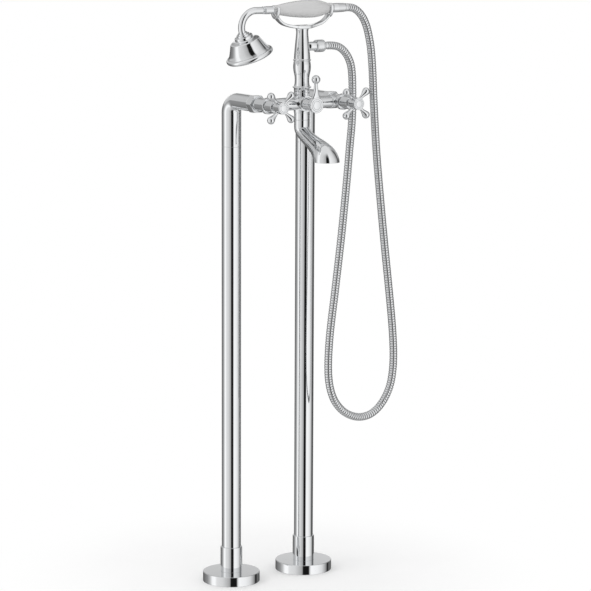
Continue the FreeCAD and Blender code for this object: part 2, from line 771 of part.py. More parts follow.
def valve_body(side, x, inward):
    length = ring_start - thread_start
    shell = turned(side + "_valve_shell", (
        (0, 0),
        (of.thread_radius, 0),
        (of.thread_radius, nut_end - thread_start),
        (of.body_radius, nut_end - thread_start),
        (of.body_radius, length),
        (0, length),
    ))
    place(shell, x, -thread_start, of.axis_height, FORWARD)
    boss = cylinder(side + "_valve_boss", of.boss_radius, of.boss_reach)
    place(boss, x, -of.bar_reach, of.axis_height, inward)
    casting = fused(side + "_valve_casting", [shell, boss])
    way = cylinder(side + "_valve_way", of.water_radius, chamber_start - thread_start)
    place(way, x, -thread_start, of.axis_height, FORWARD)
    chamber = cylinder(side + "_valve_chamber", of.cartridge_radius + of.slip_fit,
                       ring_start - chamber_start)
    place(chamber, x, -chamber_start, of.axis_height, FORWARD)
    port = cylinder(side + "_valve_port", of.bar_bore, of.boss_reach)
    place(port, x, -of.bar_reach, of.axis_height, inward)
    faced = without(side + "_valve_faced", casting, [bonnet_seat(side + "_valve_seat", x, of.boss_radius)])
    node(side + "_valve_body", without(side + "_valve_body", faced, [way, chamber, port]))


def bonnet(name, x, length, tip_radius, nose_length):
    """The ringed sleeve that holds a cartridge, with a nose round the spindle."""
    edge = of.ring_edge
    ring = of.ring_length
    tip = ring + length
    hole = of.spindle_radius + of.running_fit
    inside = of.cartridge_radius + of.slip_fit
    sleeve = turned(name, (
        (inside, 0),
        (of.ring_radius - edge, 0, edge),
        (of.ring_radius, edge),
        (of.ring_radius, ring - edge, edge),
        (of.ring_radius - edge, ring),
        (of.bonnet_radius, ring),
        (tip_radius, tip),
        (of.nose_radius, tip),
        (of.nose_radius, tip + nose_length),
        (hole, tip + nose_length),
        (hole, tip - of.cartridge_nose),
        (inside, tip - of.cartridge_nose),
    ))
    node(name, place(sleeve, x, -ring_start, of.axis_height, FORWARD))


def cartridge(name, x, start, end):
    """A cartridge with its socket for the spindle."""
    length = end - start
    hole = of.spindle_radius + of.running_fit
    core = turned(name, (
        (0, 0),
        (of.cartridge_radius, 0),
        (of.cartridge_radius, length),
        (hole, length),
        (hole, length - of.spindle_sunk),
        (0, length - of.spindle_sunk),
    ))
    node(name, place(core, x, -start, of.axis_height, FORWARD))


def spindle(name, x, start, end):
    """A spindle with the tapped hole for the handle screw at its front."""
    length = end - start
    rod = turned(name, (
        (0, 0),
        (of.spindle_radius, 0),
        (of.spindle_radius, length),
        (of.screw_radius, length),
        (of.screw_radius, length - of.screw_length),
        (0, length - of.screw_length),
    ))
    node(name, place(rod, x, -start, of.axis_height, FORWARD))


def handle_screw(name, x, seat, head_length):
    screw = turned(name, (
        (0, -of.screw_length),
        (of.screw_radius, -of.screw_length),
        (of.screw_radius, 0),
        (of.screw_head_radius, 0),
        (of.screw_head_radius, head_length),
        (0, head_length),
    ))
    node(name, place(screw, x, -seat, of.axis_height, FORWARD))


def crowned_cap(name, x, start, radius, thickness):
    """A cap whose face is a shallow dome."""
    dome = (radius * radius + of.cap_crown * of.cap_crown) / (2.0 * of.cap_crown)
    cap = turned(name, (
        (0, 0),
        (radius, 0),
        (radius, thickness, dome),
        (0, thickness + of.cap_crown),
    ))
    node(name, place(cap, x, -start, of.axis_height, FORWARD))


def cross_handle(side, x):
    """Hub with four arms on the diagonals, each set in the hub and ending in a bulb."""
    start = ring_start + of.ring_length + of.bonnet_length + of.nose_length + of.moving_gap
    edge = of.hub_edge
    hub = turned(side + "_hub", (
        (of.spindle_radius, 0),
        (of.hub_radius - edge, 0),
        (of.hub_radius, edge),
        (of.hub_radius, of.hub_length - edge),
        (of.hub_radius - edge, of.hub_length),
        (of.cap_radius, of.hub_length),
        (of.cap_radius, of.hub_length - of.cap_thick),
        (of.screw_head_radius, of.hub_length - of.cap_thick),
        (of.screw_head_radius, of.spindle_seat),
        (of.spindle_radius, of.spindle_seat),
    ))
    place(hub, x, -start, of.axis_height, FORWARD)
    root = of.hub_radius - of.arm_sunk
    join_radius = of.bulb_radius * sine(of.bulb_join)
    join_reach = of.arm_reach - of.bulb_radius * cosine(of.bulb_join)
    arms = []
    sockets = []
    for number in range(HANDLE_ARMS):
        angle = 45.0 + 360.0 * number / HANDLE_ARMS
        spot = (x, -(start + of.arm_place), of.axis_height, FreeCAD.Rotation(AXIS_Y, angle))
        arm = turned("%s_arm_%d" % (side, number), (
            (0, root),
            (of.arm_radius, root),
            (of.arm_radius, of.hub_radius),
            (join_radius, join_reach, of.bulb_radius),
            (0, of.arm_reach + of.bulb_radius),
        ))
        arms.append(place(arm, *spot))
        socket = turned("%s_arm_socket_%d" % (side, number), (
            (0, root),
            (of.arm_radius + of.slip_fit, root),
            (of.arm_radius + of.slip_fit, of.hub_radius + of.arm_sunk),
            (0, of.hub_radius + of.arm_sunk),
        ))
        sockets.append(place(socket, *spot))
    node(side + "_handle", without(side + "_handle", hub, sockets))
    group = doc.addObject("Part::Compound", side + "_handle_arms")
    group.Links = arms
    node(side + "_handle_arms", group)
    seat = start + of.spindle_seat
    spindle_start = ring_start + of.ring_length + of.bonnet_length - of.cartridge_nose - of.spindle_sunk
    spindle(side + "_spindle", x, spindle_start + of.moving_gap, seat)
    handle_screw(side + "_handle_screw", x, seat, of.screw_head_length)
    crowned_cap(side + "_handle_cap", x, start + of.hub_length - of.cap_thick, of.cap_radius, of.cap_thick)


def supply_side(side, x, inward):
    floor_plate(side, x)
    flange_cover(side, x)
    collar(side, x)
    standpipe(side, x)
    supply_tube(side, x)
    elbow(side, x)
    union_nut(side, x)
    valve_body(side, x, inward)
    bonnet(side + "_valve_bonnet", x, of.bonnet_length, of.bonnet_tip_radius, of.nose_length)
    end = ring_start + of.ring_length + of.bonnet_length - of.cartridge_nose
    cartridge(side + "_cartridge", x, chamber_start, end)
    cross_handle(side, x)


# ---------------------------------------------------------------- mixer bar and diverter


def mixer_bar():
    """The bar with its end rings, the middle body and the diverter's boss."""
    half = of.leg_spacing / 2.0 - of.boss_reach
    ring = of.bar_ring_length
    bar = turned("bar_tube", (
        (0, -half),
        (of.bar_ring_radius, -half),
        (of.bar_ring_radius, ring - half),
        (of.bar_radius, ring - half),
        (of.bar_middle_radius, -of.middle_radius),
        (of.bar_middle_radius, of.middle_radius),
        (of.bar_radius, half - ring),
        (of.bar_ring_radius, half - ring),
        (of.bar_ring_radius, half),
        (0, half),
    ))
    place(bar, 0, -of.bar_reach, of.axis_height, TO_RIGHT)
    middle = cylinder("bar_middle", of.middle_radius, of.middle_drop + of.middle_rise)
    place(middle, 0, -of.bar_reach, of.axis_height - of.middle_drop)
    boss = cylinder("bar_boss", of.body_radius, of.body_front)
    place(boss, 0, -of.bar_reach, of.axis_height, FORWARD)
    casting = fused("bar_casting", [bar, middle, boss])
    way = cylinder("bar_way", of.bar_bore, half * 2.0)
    place(way, -half, -of.bar_reach, of.axis_height, TO_RIGHT)
    chamber = cylinder("bar_chamber", of.cartridge_radius + of.slip_fit, ring_start - chamber_start)
    place(chamber, 0, -chamber_start, of.axis_height, FORWARD)
    upright = turned("bar_upright_way", (
        (0, -of.middle_drop),
        (of.outlet_bore, -of.middle_drop),
        (of.outlet_bore, 0),
        (of.riser_bore, 0),
        (of.riser_bore, of.middle_rise),
        (0, of.middle_rise),
    ))
    place(upright, 0, -of.bar_reach, of.axis_height)
    faced = without("bar_faced", casting, [bonnet_seat("bar_seat", 0, of.middle_radius)])
    node("mixer_bar", without("mixer_bar", faced, [way, chamber, upright]))


def diverter_lever(start):
    """A disc that runs out upwards into a rod with a ball."""
    face = start + of.lever_thick
    hub = turned("lever_disc", (
        (of.spindle_radius, 0),
        (of.lever_radius, 0),
        (of.lever_radius, of.lever_thick),
        (of.screw_head_radius, of.lever_thick),
        (of.screw_head_radius, of.lever_seat),
        (of.spindle_radius, of.lever_seat),
    ))
    place(hub, 0, -start, of.axis_height, FORWARD)
    neck = doc.addObject("PartDesign::Body", "lever_neck")
    half_waist = of.lever_waist / 2.0
    hollow = of.lever_waist_height * 1.6
    drawn = outline(neck, "lever_neck_outline", "XZ_Plane", (
        (-of.lever_radius * 0.8, of.lever_radius * 0.6),
        (of.lever_radius * 0.8, of.lever_radius * 0.6, -hollow),
        (half_waist, of.lever_waist_height),
        (of.lever_rod_radius, of.lever_waist_height + of.lever_waist),
        (-of.lever_rod_radius, of.lever_waist_height + of.lever_waist),
        (-half_waist, of.lever_waist_height, -hollow),
    ))
    plate = neck.newObject("PartDesign::Pad", "lever_neck_pad")
    plate.Profile = drawn
    bound(plate, Length=of.lever_rod_radius * 2.0)
    plate.Midplane = True
    middle = start + of.lever_thick / 2.0
    place(neck, 0, -middle, of.axis_height)
    rod = cylinder("lever_rod", of.lever_rod_radius, of.lever_length - of.lever_waist_height)
    place(rod, 0, -middle, of.axis_height + of.lever_waist_height)
    ball = sphere("lever_ball", of.ball_radius)
    place(ball, 0, -middle, of.axis_height + of.lever_length)
    form = fused("lever_form", [hub, neck, rod, ball])
    recess = cylinder("lever_recess", of.lever_cap_radius, of.lever_cap_thick)
    place(recess, 0, -(face - of.lever_cap_thick), of.axis_height, FORWARD)
    node("diverter_lever", without("diverter_lever", form, [recess]))
    handle_screw("lever_screw", 0, start + of.lever_seat, of.lever_screw_head)
    crowned_cap("lever_cap", 0, face - of.lever_cap_thick, of.lever_cap_radius, of.lever_cap_thick)


def diverter():
    bonnet("diverter_bonnet", 0, of.diverter_length, of.diverter_tip_radius, of.diverter_nose)
    end = ring_start + of.ring_length + of.diverter_length - of.cartridge_nose
    cartridge("diverter_cartridge", 0, chamber_start, end)
    start = end + of.cartridge_nose + of.diverter_nose + of.moving_gap
    spindle("diverter_spindle", 0, end - of.spindle_sunk + of.moving_gap, start + of.lever_seat)
    diverter_lever(start)


# ---------------------------------------------------------------- spout


def spout_tailpiece():
    edge = of.seam_edge
    piece = turned("spout_tailpiece", (
        (of.outlet_bore, 0),
        (of.tailpiece_radius - edge, 0),
        (of.tailpiece_radius, edge),
        (of.tailpiece_radius, of.tailpiece_length),
        (of.outlet_bore, of.tailpiece_length),
    ))
    node("spout_tailpiece", place(piece, 0, -of.bar_reach, spout_top))


def spout_arm(name, wall, beyond):
    """The arm's outside, or its inside when a wall is taken off and it runs beyond the mouth."""
    heel = of.axis_height - of.heel_drop
    fall = of.mouth_drop - of.heel_drop
    shares = (
        (of.heel_radius, 0.0, 0.0, 65.0),
        (of.neck_radius, 0.22, 0.17, 66.0),
        (of.neck_radius * 1.12, 0.52, 0.375, 66.0),
        (of.mouth_radius * 0.70, 0.76, 0.56, 55.0),
        (of.mouth_radius * 0.89, 0.92, 0.73, 30.0),
        (of.mouth_radius, 1.0, 1.0, 0.0),
    )
    rings = []
    for radius, forward, down, lean in shares:
        height = heel - fall * down
        if lean == 0.0:
            height = height - beyond
        rings.append((radius - wall, of.bar_reach + of.mouth_reach * forward, height, lean))
    return lofted(name, rings)


def spout():
    """A round heel under the tailpiece, and an arm that flares into a mouth facing down."""
    edge = of.seam_edge
    depth = of.heel_drop - of.middle_drop - of.tailpiece_length
    stem = turned("spout_stem", (
        (0, -of.tailpiece_radius - depth),
        (of.tailpiece_radius, -depth),
        (of.tailpiece_radius, -edge),
        (of.tailpiece_radius - edge, 0),
        (0, 0),
    ))
    place(stem, 0, -of.bar_reach, spout_top)
    heel = sphere("spout_heel", of.tailpiece_radius)
    place(heel, 0, -of.bar_reach, of.axis_height - of.heel_drop)
    casting = fused("spout_casting", [stem, heel, spout_arm("spout_arm", as_size(0), as_size(0))])
    inside = spout_arm("spout_inside", of.spout_wall, of.spout_wall)
    entry = cylinder("spout_entry", of.outlet_bore, depth)
    place(entry, 0, -of.bar_reach, spout_top - depth)
    socket = cylinder("spout_socket", of.mouth_radius - of.lip_wall,
                      of.straightener_height + of.straightener_thick)
    place(socket, 0, -(of.bar_reach + of.mouth_reach), of.axis_height - of.mouth_drop)
    node("spout", without("spout", casting, [inside, entry, socket]))


def flow_straightener():
    radius = of.mouth_radius - of.lip_wall - of.slip_fit
    disc = turned("flow_straightener", (
        (0, 0),
        (radius, 0),
        (radius, of.straightener_thick),
        (0, of.straightener_thick),
    ))
    polar_holes(disc, of.straightener_thick, STRAIGHTENER_RINGS, of.straightener_hole, "straightener")
    height = of.axis_height - of.mouth_drop + of.straightener_height
    node("flow_straightener", place(disc, 0, -(of.bar_reach + of.mouth_reach), height))


# ---------------------------------------------------------------- riser and cradle


def riser_baluster():
    neck = of.riser_neck_height
    ring = neck + of.riser_ring_thick
    waist = ring + of.waist_height
    edge = of.riser_ring_radius - bead_rise
    piece = turned("riser_baluster", (
        (of.riser_bore, 0),
        (of.riser_radius, 0),
        (of.riser_radius, neck),
        (edge, neck, bead_curve),
        (edge, ring),
        (of.waist_end_radius, ring, -of.waist_curve),
        (of.waist_end_radius - 0.2, waist, of.swell_curve),
        (of.swell_end_radius, baluster_height),
        (of.riser_bore, baluster_height),
    ))
    node("riser_baluster", place(piece, 0, -of.bar_reach, riser_foot))


def riser_column():
    ring = of.riser_ring_thick
    edge = of.column_ring_radius - bead_rise
    post = turned("column_post", (
        (0, 0),
        (edge, 0, bead_curve),
        (edge, ring),
        (of.column_radius, ring),
        (of.column_top_radius, ring + of.column_height),
        (0, ring + of.column_height),
    ))
    place(post, 0, -of.bar_reach, column_foot)
    stub = turned("column_stub", (
        (0, 0),
        (of.stub_radius, 0),
        (of.stub_radius, of.stub_reach),
        (of.stub_thread_radius, of.stub_reach),
        (of.stub_thread_radius, of.stub_reach + of.stub_thread_length),
        (0, of.stub_reach + of.stub_thread_length),
    ))
    place(stub, 0, -of.bar_reach, outlet_height, TO_RIGHT)
    casting = fused("column_casting", [post, stub])
    way_up = cylinder("column_way_up", of.riser_bore, outlet_height - column_foot)
    place(way_up, 0, -of.bar_reach, column_foot)
    way_out = cylinder("column_way_out", of.stub_bore, of.stub_reach + of.stub_thread_length)
    place(way_out, 0, -of.bar_reach, outlet_height, TO_RIGHT)
    tapped = cylinder("column_tapped_hole", of.cradle_screw_radius, of.cradle_screw_length)
    place(tapped, 0, -of.bar_reach, cradle_floor - of.cradle_screw_length)
    node("riser_column", without("riser_column", casting, [way_up, way_out, tapped]))


def cradle_strip():
    """The strip's side view: a flat floor that curves up to a fork at each end."""
    outer = of.cradle_bend
    inner = outer - of.cradle_thick
    flat = of.cradle_flat
    across = sine(of.cradle_slope)
    up = 1.0 - cosine(of.cradle_slope)
    end = of.fork_inner + of.fork_thick / 2.0
    run = end - flat - outer * across
    rise = run * across / cosine(of.cradle_slope)
    strip = doc.addObject("PartDesign::Body", "cradle_strip")
    right_outer = (flat + outer * across, outer * up)
    right_inner = (flat + inner * across, of.cradle_thick + inner * up)
    right_end = (end, outer * up + rise)
    lift = of.cradle_thick * cosine(of.cradle_slope)
    right_top = (end - of.cradle_thick * across, outer * up + rise + lift)
    drawn = outline(strip, "cradle_strip_outline", "XZ_Plane", (
        (-flat, 0),
        (flat, 0, outer),
        right_outer,
        right_end,
        right_top,
        (right_inner[0], right_inner[1], -inner),
        (flat, of.cradle_thick),
        (-flat, of.cradle_thick, -inner),
        (-right_inner[0], right_inner[1]),
        (-right_top[0], right_top[1]),
        (-right_end[0], right_end[1]),
        (-right_outer[0], right_outer[1], outer),
    ))
    pad = strip.newObject("PartDesign::Pad", "cradle_strip_pad")
    pad.Profile = drawn
    bound(pad, Length=of.cradle_width)
    pad.Midplane = True
    place(strip, 0, -of.bar_reach, cradle_floor)
    return strip


def cradle_fork(name, start, neck_radius):
    """A plate across the strip's end, open upwards for the grip's neck."""
    notch = neck_radius + of.moving_gap
    half = of.fork_width / 2.0
    height = of.fork_foot + of.fork_rise
    foot = handset_height - of.fork_foot
    plate = box(name + "_plate", of.fork_thick, of.fork_width, height)
    place(plate, start, -(of.bar_reach + half), foot)
    seat = cylinder(name + "_seat", notch, of.fork_thick)
    place(seat, start, -of.bar_reach, handset_height, TO_RIGHT)
    opening = box(name + "_opening", of.fork_thick, notch * 2.0, of.fork_rise)
    place(opening, start, -(of.bar_reach + notch), handset_height)
    notched = without(name + "_notched", plate, [seat, opening])
    rounding = cylinder(name + "_rounding", half, of.fork_thick)
    place(rounding, start, -of.bar_reach, foot + half, TO_RIGHT)
    upper = box(name + "_upper", of.fork_thick, of.fork_width, height - half)
    place(upper, start, -(of.bar_reach + half), foot + half)
    form = fused(name + "_form", [rounding, upper])
    fork = doc.addObject("Part::Common", name)
    fork.Base = notched
    fork.Tool = form
    return fork


def cradle():
    strip = cradle_strip()
    front = cradle_fork("front_fork", -(of.fork_inner + of.fork_thick), of.grip_front_neck_radius)
    rear = cradle_fork("rear_fork", of.fork_inner, of.grip_rear_neck_radius)
    casting = fused("cradle_casting", [strip, front, rear])
    hole = cone("cradle_screw_hole", of.cradle_screw_radius + of.slip_fit,
                of.cradle_screw_head + of.slip_fit, of.cradle_thick)
    place(hole, 0, -of.bar_reach, cradle_floor)
    node("cradle", without("cradle", casting, [hole]))


def cradle_screw():
    screw = turned("cradle_screw", (
        (0, -of.cradle_screw_length),
        (of.cradle_screw_radius, -of.cradle_screw_length),
        (of.cradle_screw_radius, 0),
        (of.cradle_screw_head, of.cradle_thick),
        (0, of.cradle_thick),
    ))
    node("cradle_screw", place(screw, 0, -of.bar_reach, cradle_floor))


# ---------------------------------------------------------------- hand shower


def grip():
    """The ceramic grip: two straight necks, and a belly that both sides run out from level."""
    half = of.grip_half
    belly = of.grip_belly_place
    bore = of.core_radius + of.slip_fit
    front_rise = of.grip_belly_radius - of.grip_front_neck_radius
    rear_rise = of.grip_belly_radius - of.grip_rear_neck_radius
    front_run = half - of.grip_neck + belly
    rear_run = half - of.grip_neck - belly
    front_curve = (front_run * front_run + front_rise * front_rise) / (2.0 * front_rise)
    rear_curve = (rear_run * rear_run + rear_rise * rear_rise) / (2.0 * rear_rise)
    piece = turned("grip", (
        (bore, -half),
        (of.grip_front_neck_radius, -half),
        (of.grip_front_neck_radius, of.grip_neck - half, front_curve),
        (of.grip_belly_radius, belly, rear_curve),
        (of.grip_rear_neck_radius, half - of.grip_neck),
        (of.grip_rear_neck_radius, half),
        (bore, half),
    ))
    node("grip", place(piece, 0, -of.bar_reach, handset_height, TO_RIGHT))


def handset_core():
    half = of.grip_half + of.core_overhang
    tube = turned("handset_core", (
        (of.core_bore, -half),
        (of.core_radius, -half),
        (of.core_radius, half),
        (of.core_bore, half),
    ))
    node("handset_core", place(tube, 0, -of.bar_reach, handset_height, TO_RIGHT))


def front_ferrule():
    """The sleeve between the grip and the gooseneck."""
    length = of.front_ferrule_length
    sunk = of.core_overhang
    flange = of.front_ferrule_flange - of.front_ferrule_radius
    piece = turned("front_ferrule", (
        (of.core_radius, 0),
        (of.front_ferrule_flange, 0),
        (of.front_ferrule_flange, flange * 2.0),
        (of.front_ferrule_radius, flange * 3.0),
        (of.front_ferrule_radius, length),
        (of.gooseneck_bore, length),
        (of.gooseneck_bore, sunk),
        (of.core_radius, sunk),
    ))
    node("front_ferrule", place(piece, -of.grip_half, -of.bar_reach, handset_height, TO_LEFT))


def rear_ferrule():
    """The sleeve between the grip and the hose."""
    length = of.rear_ferrule_length
    piece = turned("rear_ferrule", (
        (of.core_radius, 0),
        (of.rear_ferrule_radius, 0),
        (of.rear_ferrule_tip_radius, length),
        (of.hose_bore, length),
        (of.hose_bore, of.core_overhang),
        (of.core_radius, of.core_overhang),
    ))
    node("rear_ferrule", place(piece, of.grip_half, -of.bar_reach, handset_height, TO_RIGHT))


bend_start = of.grip_half + of.front_ferrule_length + of.gooseneck_straight
bend_angle = QUARTER + of.head_tilt
neck_across = bend_start + of.gooseneck_bend * cosine(of.head_tilt)
neck_height = handset_height - of.gooseneck_bend - of.gooseneck_bend * sine(of.head_tilt)


def gooseneck_form(name, radius):
    """A level stretch towards the head, then a bend down and back to the head's axis."""
    level = cylinder(name + "_level", radius, of.gooseneck_straight)
    place(level, -(bend_start - of.gooseneck_straight), -of.bar_reach, handset_height, TO_LEFT)
    turn = bend(name + "_turn", of.gooseneck_bend, radius, bend_angle)
    upright = FreeCAD.Rotation(AXIS_Z, -AXIS_X, -AXIS_Y, "ZXY")
    place(turn, -bend_start, -of.bar_reach, handset_height - of.gooseneck_bend, upright)
    return fused(name + "_form", [level, turn])


def gooseneck():
    tube = gooseneck_form("gooseneck_tube", of.gooseneck_radius)
    way = gooseneck_form("gooseneck_way", of.gooseneck_bore)
    node("gooseneck", without("gooseneck", tube, [way]))


def head_place(piece, along):
    """Put a head piece on the head's axis, its own -Z pointing to the spray face."""
    across = -neck_across + along * sine(of.head_tilt)
    place(piece, across, -of.bar_reach, neck_height - along * cosine(of.head_tilt))
    return lean_back(piece, of.head_tilt)


def head_nut():
    length = of.head_nut_length
    piece = turned("head_nut", (
        (of.gooseneck_bore, 0),
        (of.head_nut_top_radius, 0),
        (of.head_nut_radius, -length * 0.5),
        (of.head_nut_radius, -length),
        (of.gooseneck_bore, -length),
    ))
    node("head_nut", head_place(piece, as_size(0)))


def head_bell():
    wall = of.bell_wall
    drop = of.bell_shoulder_drop
    length = of.bell_length
    piece = turned("head_bell", (
        (of.gooseneck_bore, 0),
        (of.head_nut_radius, 0, -of.bell_shoulder_radius),
        (of.bell_shoulder_radius, -drop),
        (of.bell_radius, -length),
        (of.bell_radius - wall, -length),
        (of.bell_shoulder_radius - wall, -(drop + wall)),
        (of.gooseneck_bore, -(drop + wall)),
    ))
    node("head_bell", head_place(piece, of.head_nut_length))


def head_rim():
    """The rounded ring that holds the spray plate against the bell."""
    length = of.rim_length
    edge = length / 2.0
    inside = of.bell_radius - of.bell_wall
    piece = turned("head_rim", (
        (inside, 0),
        (of.rim_radius - edge, 0, -edge),
        (of.rim_radius, -edge, -edge),
        (of.rim_radius - edge, -length),
        (inside - of.rim_lip, -length),
        (inside - of.rim_lip, of.spray_plate_recess - length),
        (inside, of.spray_plate_recess - length),
    ))
    node("head_rim", head_place(piece, of.head_nut_length + of.bell_length))


def spray_plate():
    radius = of.bell_radius - of.bell_wall - of.slip_fit
    disc = turned("spray_plate", (
        (0, 0),
        (radius, 0),
        (radius, of.spray_plate_thick),
        (0, of.spray_plate_thick),
    ))
    polar_holes(disc, of.spray_plate_thick, SPRAY_RINGS, of.spray_hole_radius, "spray")
    along = of.head_nut_length + of.bell_length + of.rim_length - of.spray_plate_recess
    node("spray_plate", head_place(disc, along))


# ---------------------------------------------------------------- hose


def hose_outlet_nut():
    length = of.hose_nut_length
    edge = of.hose_nut_edge
    step = of.stub_thread_length + of.hose_washer_thick + of.hose_flange_thick
    thread = of.stub_thread_radius + of.slip_fit
    hole = of.hose_ferrule_radius + of.slip_fit
    nut = turned("hose_outlet_nut", (
        (thread, 0),
        (of.hose_nut_radius - edge, 0),
        (of.hose_nut_radius, edge),
        (of.hose_nut_radius, length - edge * 2.0),
        (of.hose_nut_radius - edge * 2.0, length),
        (hole, length),
        (hole, step),
        (thread, step),
    ))
    node("hose_outlet_nut", place(nut, of.stub_reach, -of.bar_reach, outlet_height, TO_RIGHT))


def hose_washer():
    washer = turned("hose_washer", (
        (of.stub_bore, 0),
        (of.stub_thread_radius, 0),
        (of.stub_thread_radius, of.hose_washer_thick),
        (of.stub_bore, of.hose_washer_thick),
    ))
    across = of.stub_reach + of.stub_thread_length
    node("hose_washer", place(washer, across, -of.bar_reach, outlet_height, TO_RIGHT))


def hose_ferrule_outlet():
    across = of.stub_reach + of.stub_thread_length + of.hose_washer_thick
    length = of.hose_ferrule_reach - across
    ferrule = turned("hose_ferrule_outlet", (
        (of.hose_bore, 0),
        (of.stub_thread_radius, 0),
        (of.stub_thread_radius, of.hose_flange_thick),
        (of.hose_ferrule_radius, of.hose_flange_thick),
        (of.hose_ferrule_radius, length),
        (of.hose_bore, length),
    ))
    node("hose_ferrule_outlet", place(ferrule, across, -of.bar_reach, outlet_height, TO_RIGHT))


def hose_ferrule_handset():
    length = of.handset_ferrule_length
    ferrule = turned("hose_ferrule_handset", (
        (of.hose_bore, 0),
        (of.handset_ferrule_radius, 0),
        (of.handset_ferrule_radius, length),
        (of.hose_bore, length),
    ))
    across = of.grip_half + of.rear_ferrule_length
    node("hose_ferrule_handset", place(ferrule, across, -of.bar_reach, handset_height, TO_RIGHT))


def hose_points():
    """The route's points, its two ends level with the outlet and with the handset."""
    depth = -of.bar_reach.value
    start = FreeCAD.Vector(of.hose_ferrule_reach.value, depth, outlet_height.value)
    across = of.grip_half + of.rear_ferrule_length + of.handset_ferrule_length
    end = FreeCAD.Vector(across.value, depth, handset_height.value)
    turns = [FreeCAD.Vector(x, depth, z) for x, z in HOSE_TURNS]
    turns[0].z = start.z
    turns[-1].z = end.z
    return [start] + turns + [end]


def route_stretches(points):
    """Straight runs joined by tangent arcs, each arc as large as its two runs allow."""
    stretches = []
    here = points[0]
    radii = []
    for before, corner, after in zip(points, points[1:], points[2:]):
        run_in = corner - before
        run_out = after - corner
        half_turn = run_in.getAngle(run_out) / 2.0
        reach = ARC_SHARE * min(run_in.Length, run_out.Length)
        radii.append(reach / math.tan(half_turn))
        enter = corner - run_in.normalize() * reach
        leave = corner + run_out.normalize() * reach
        bisector = (enter + leave) * 0.5 - corner
        bisector.normalize()
        inside = radii[-1] * (1.0 / math.cos(half_turn) - 1.0)
        stretches.append(Part.LineSegment(here, enter))
        stretches.append(Part.Arc(enter, corner + bisector * inside, leave))
        here = leave
    stretches.append(Part.LineSegment(here, points[-1]))
    print("hose arc radii:", " ".join("%.0f" % radius for radius in radii))
    return stretches


def along_route(stretches):
    """Give a function from a distance along the route to the place and heading there."""
    lengths = [stretch.length() for stretch in stretches]
    total = sum(lengths)

    def at(distance):
        rest = distance
        for stretch, length in zip(stretches, lengths):
            if rest <= length or stretch is stretches[-1]:
                parameter = stretch.parameterAtDistance(min(rest, length), stretch.FirstParameter)
                return stretch.value(parameter), stretch.tangent(parameter)[0]
            rest -= length

    return total, at


def ring_wire(spot, heading, radius):
    """A circle square to the route whose own X axis is the world's Y axis."""
    up = heading.cross(AXIS_Y)
    turn = FreeCAD.Rotation(AXIS_Y, up, heading, "ZXY")
    wire = Part.Wire([Part.makeCircle(radius)])
    wire.Placement = FreeCAD.Placement(spot, turn)
    return wire


def shower_hose():
    """The ribbed hose: each rib is four circles on the route, round a smooth bore."""
    total, at = along_route(route_stretches(hose_points()))
    crest = of.hose_radius.value
    valley = crest - of.rib_height.value
    plain = crest * 2.0
    pitch = (total - plain * 2.0) / HOSE_RIBS
    profile = ((0.0, valley), (0.18, crest), (0.62, crest), (0.80, valley))
    stations = [(0.0, crest), (plain, crest)]
    for rib in range(HOSE_RIBS):
        for share, radius in profile:
            distance = plain + (rib + share) * pitch
            if distance > plain:
                stations.append((distance, radius))
    stations.append((total - plain, crest))
    stations.append((total, crest))
    outer = [ring_wire(*at(distance), radius) for distance, radius in stations]
    inner = [ring_wire(*at(distance), of.hose_bore.value) for distance, _ in stations]
    body = Part.makeLoft(outer, True, True)
    bore = Part.makeLoft(inner, True, True)
    print("hose length: %.0f mm, rib pitch %.2f mm" % (total, pitch))
    hose = doc.addObject("Part::Feature", "shower_hose")
    hose.Shape = body.cut(bore)
    hose.Placement = FreeCAD.Placement()
    node("shower_hose", hose)


# ---------------------------------------------------------------- the whole object

left = -of.leg_spacing / 2.0
right = of.leg_spacing / 2.0
both = (("hot", left), ("cold", right))

supply_side("hot", left, TO_RIGHT)
supply_side("cold", right, TO_LEFT)
collar_screws(both)
union_washers(both)
mixer_bar()
diverter()
spout_tailpiece()
spout()
flow_straightener()
riser_baluster()
riser_column()
cradle()
cradle_screw()
grip()
handset_core()
front_ferrule()
rear_ferrule()
gooseneck()
head_nut()
head_bell()
head_rim()
spray_plate()
hose_outlet_nut()
hose_washer()
hose_ferrule_outlet()
hose_ferrule_handset()
shower_hose()

doc.recompute()

faults = []
for item in doc.Objects:
    if "Invalid" in item.State or "Error" in item.State:
        faults.append("%s: %s" % (item.Name, item.State))
for piece in NODES:
    if piece.Shape.isNull() or not piece.Shape.isValid():
        faults.append("%s: bad shape" % piece.Label)
if faults:
    raise RuntimeError("; ".join(faults))

os.makedirs("parts", exist_ok=True)
for piece in NODES:
    piece.Shape.exportStep("parts/%s.step" % piece.Label)
print("nodes:", len(NODES))
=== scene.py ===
"""A floor standing bath filler in polished chrome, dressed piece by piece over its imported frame.

Shapes are written in millimetres in the frame's own axes (+X to the cold side, -Y to the front,
+Z up) and are turned into metres when their mesh is made.
"""

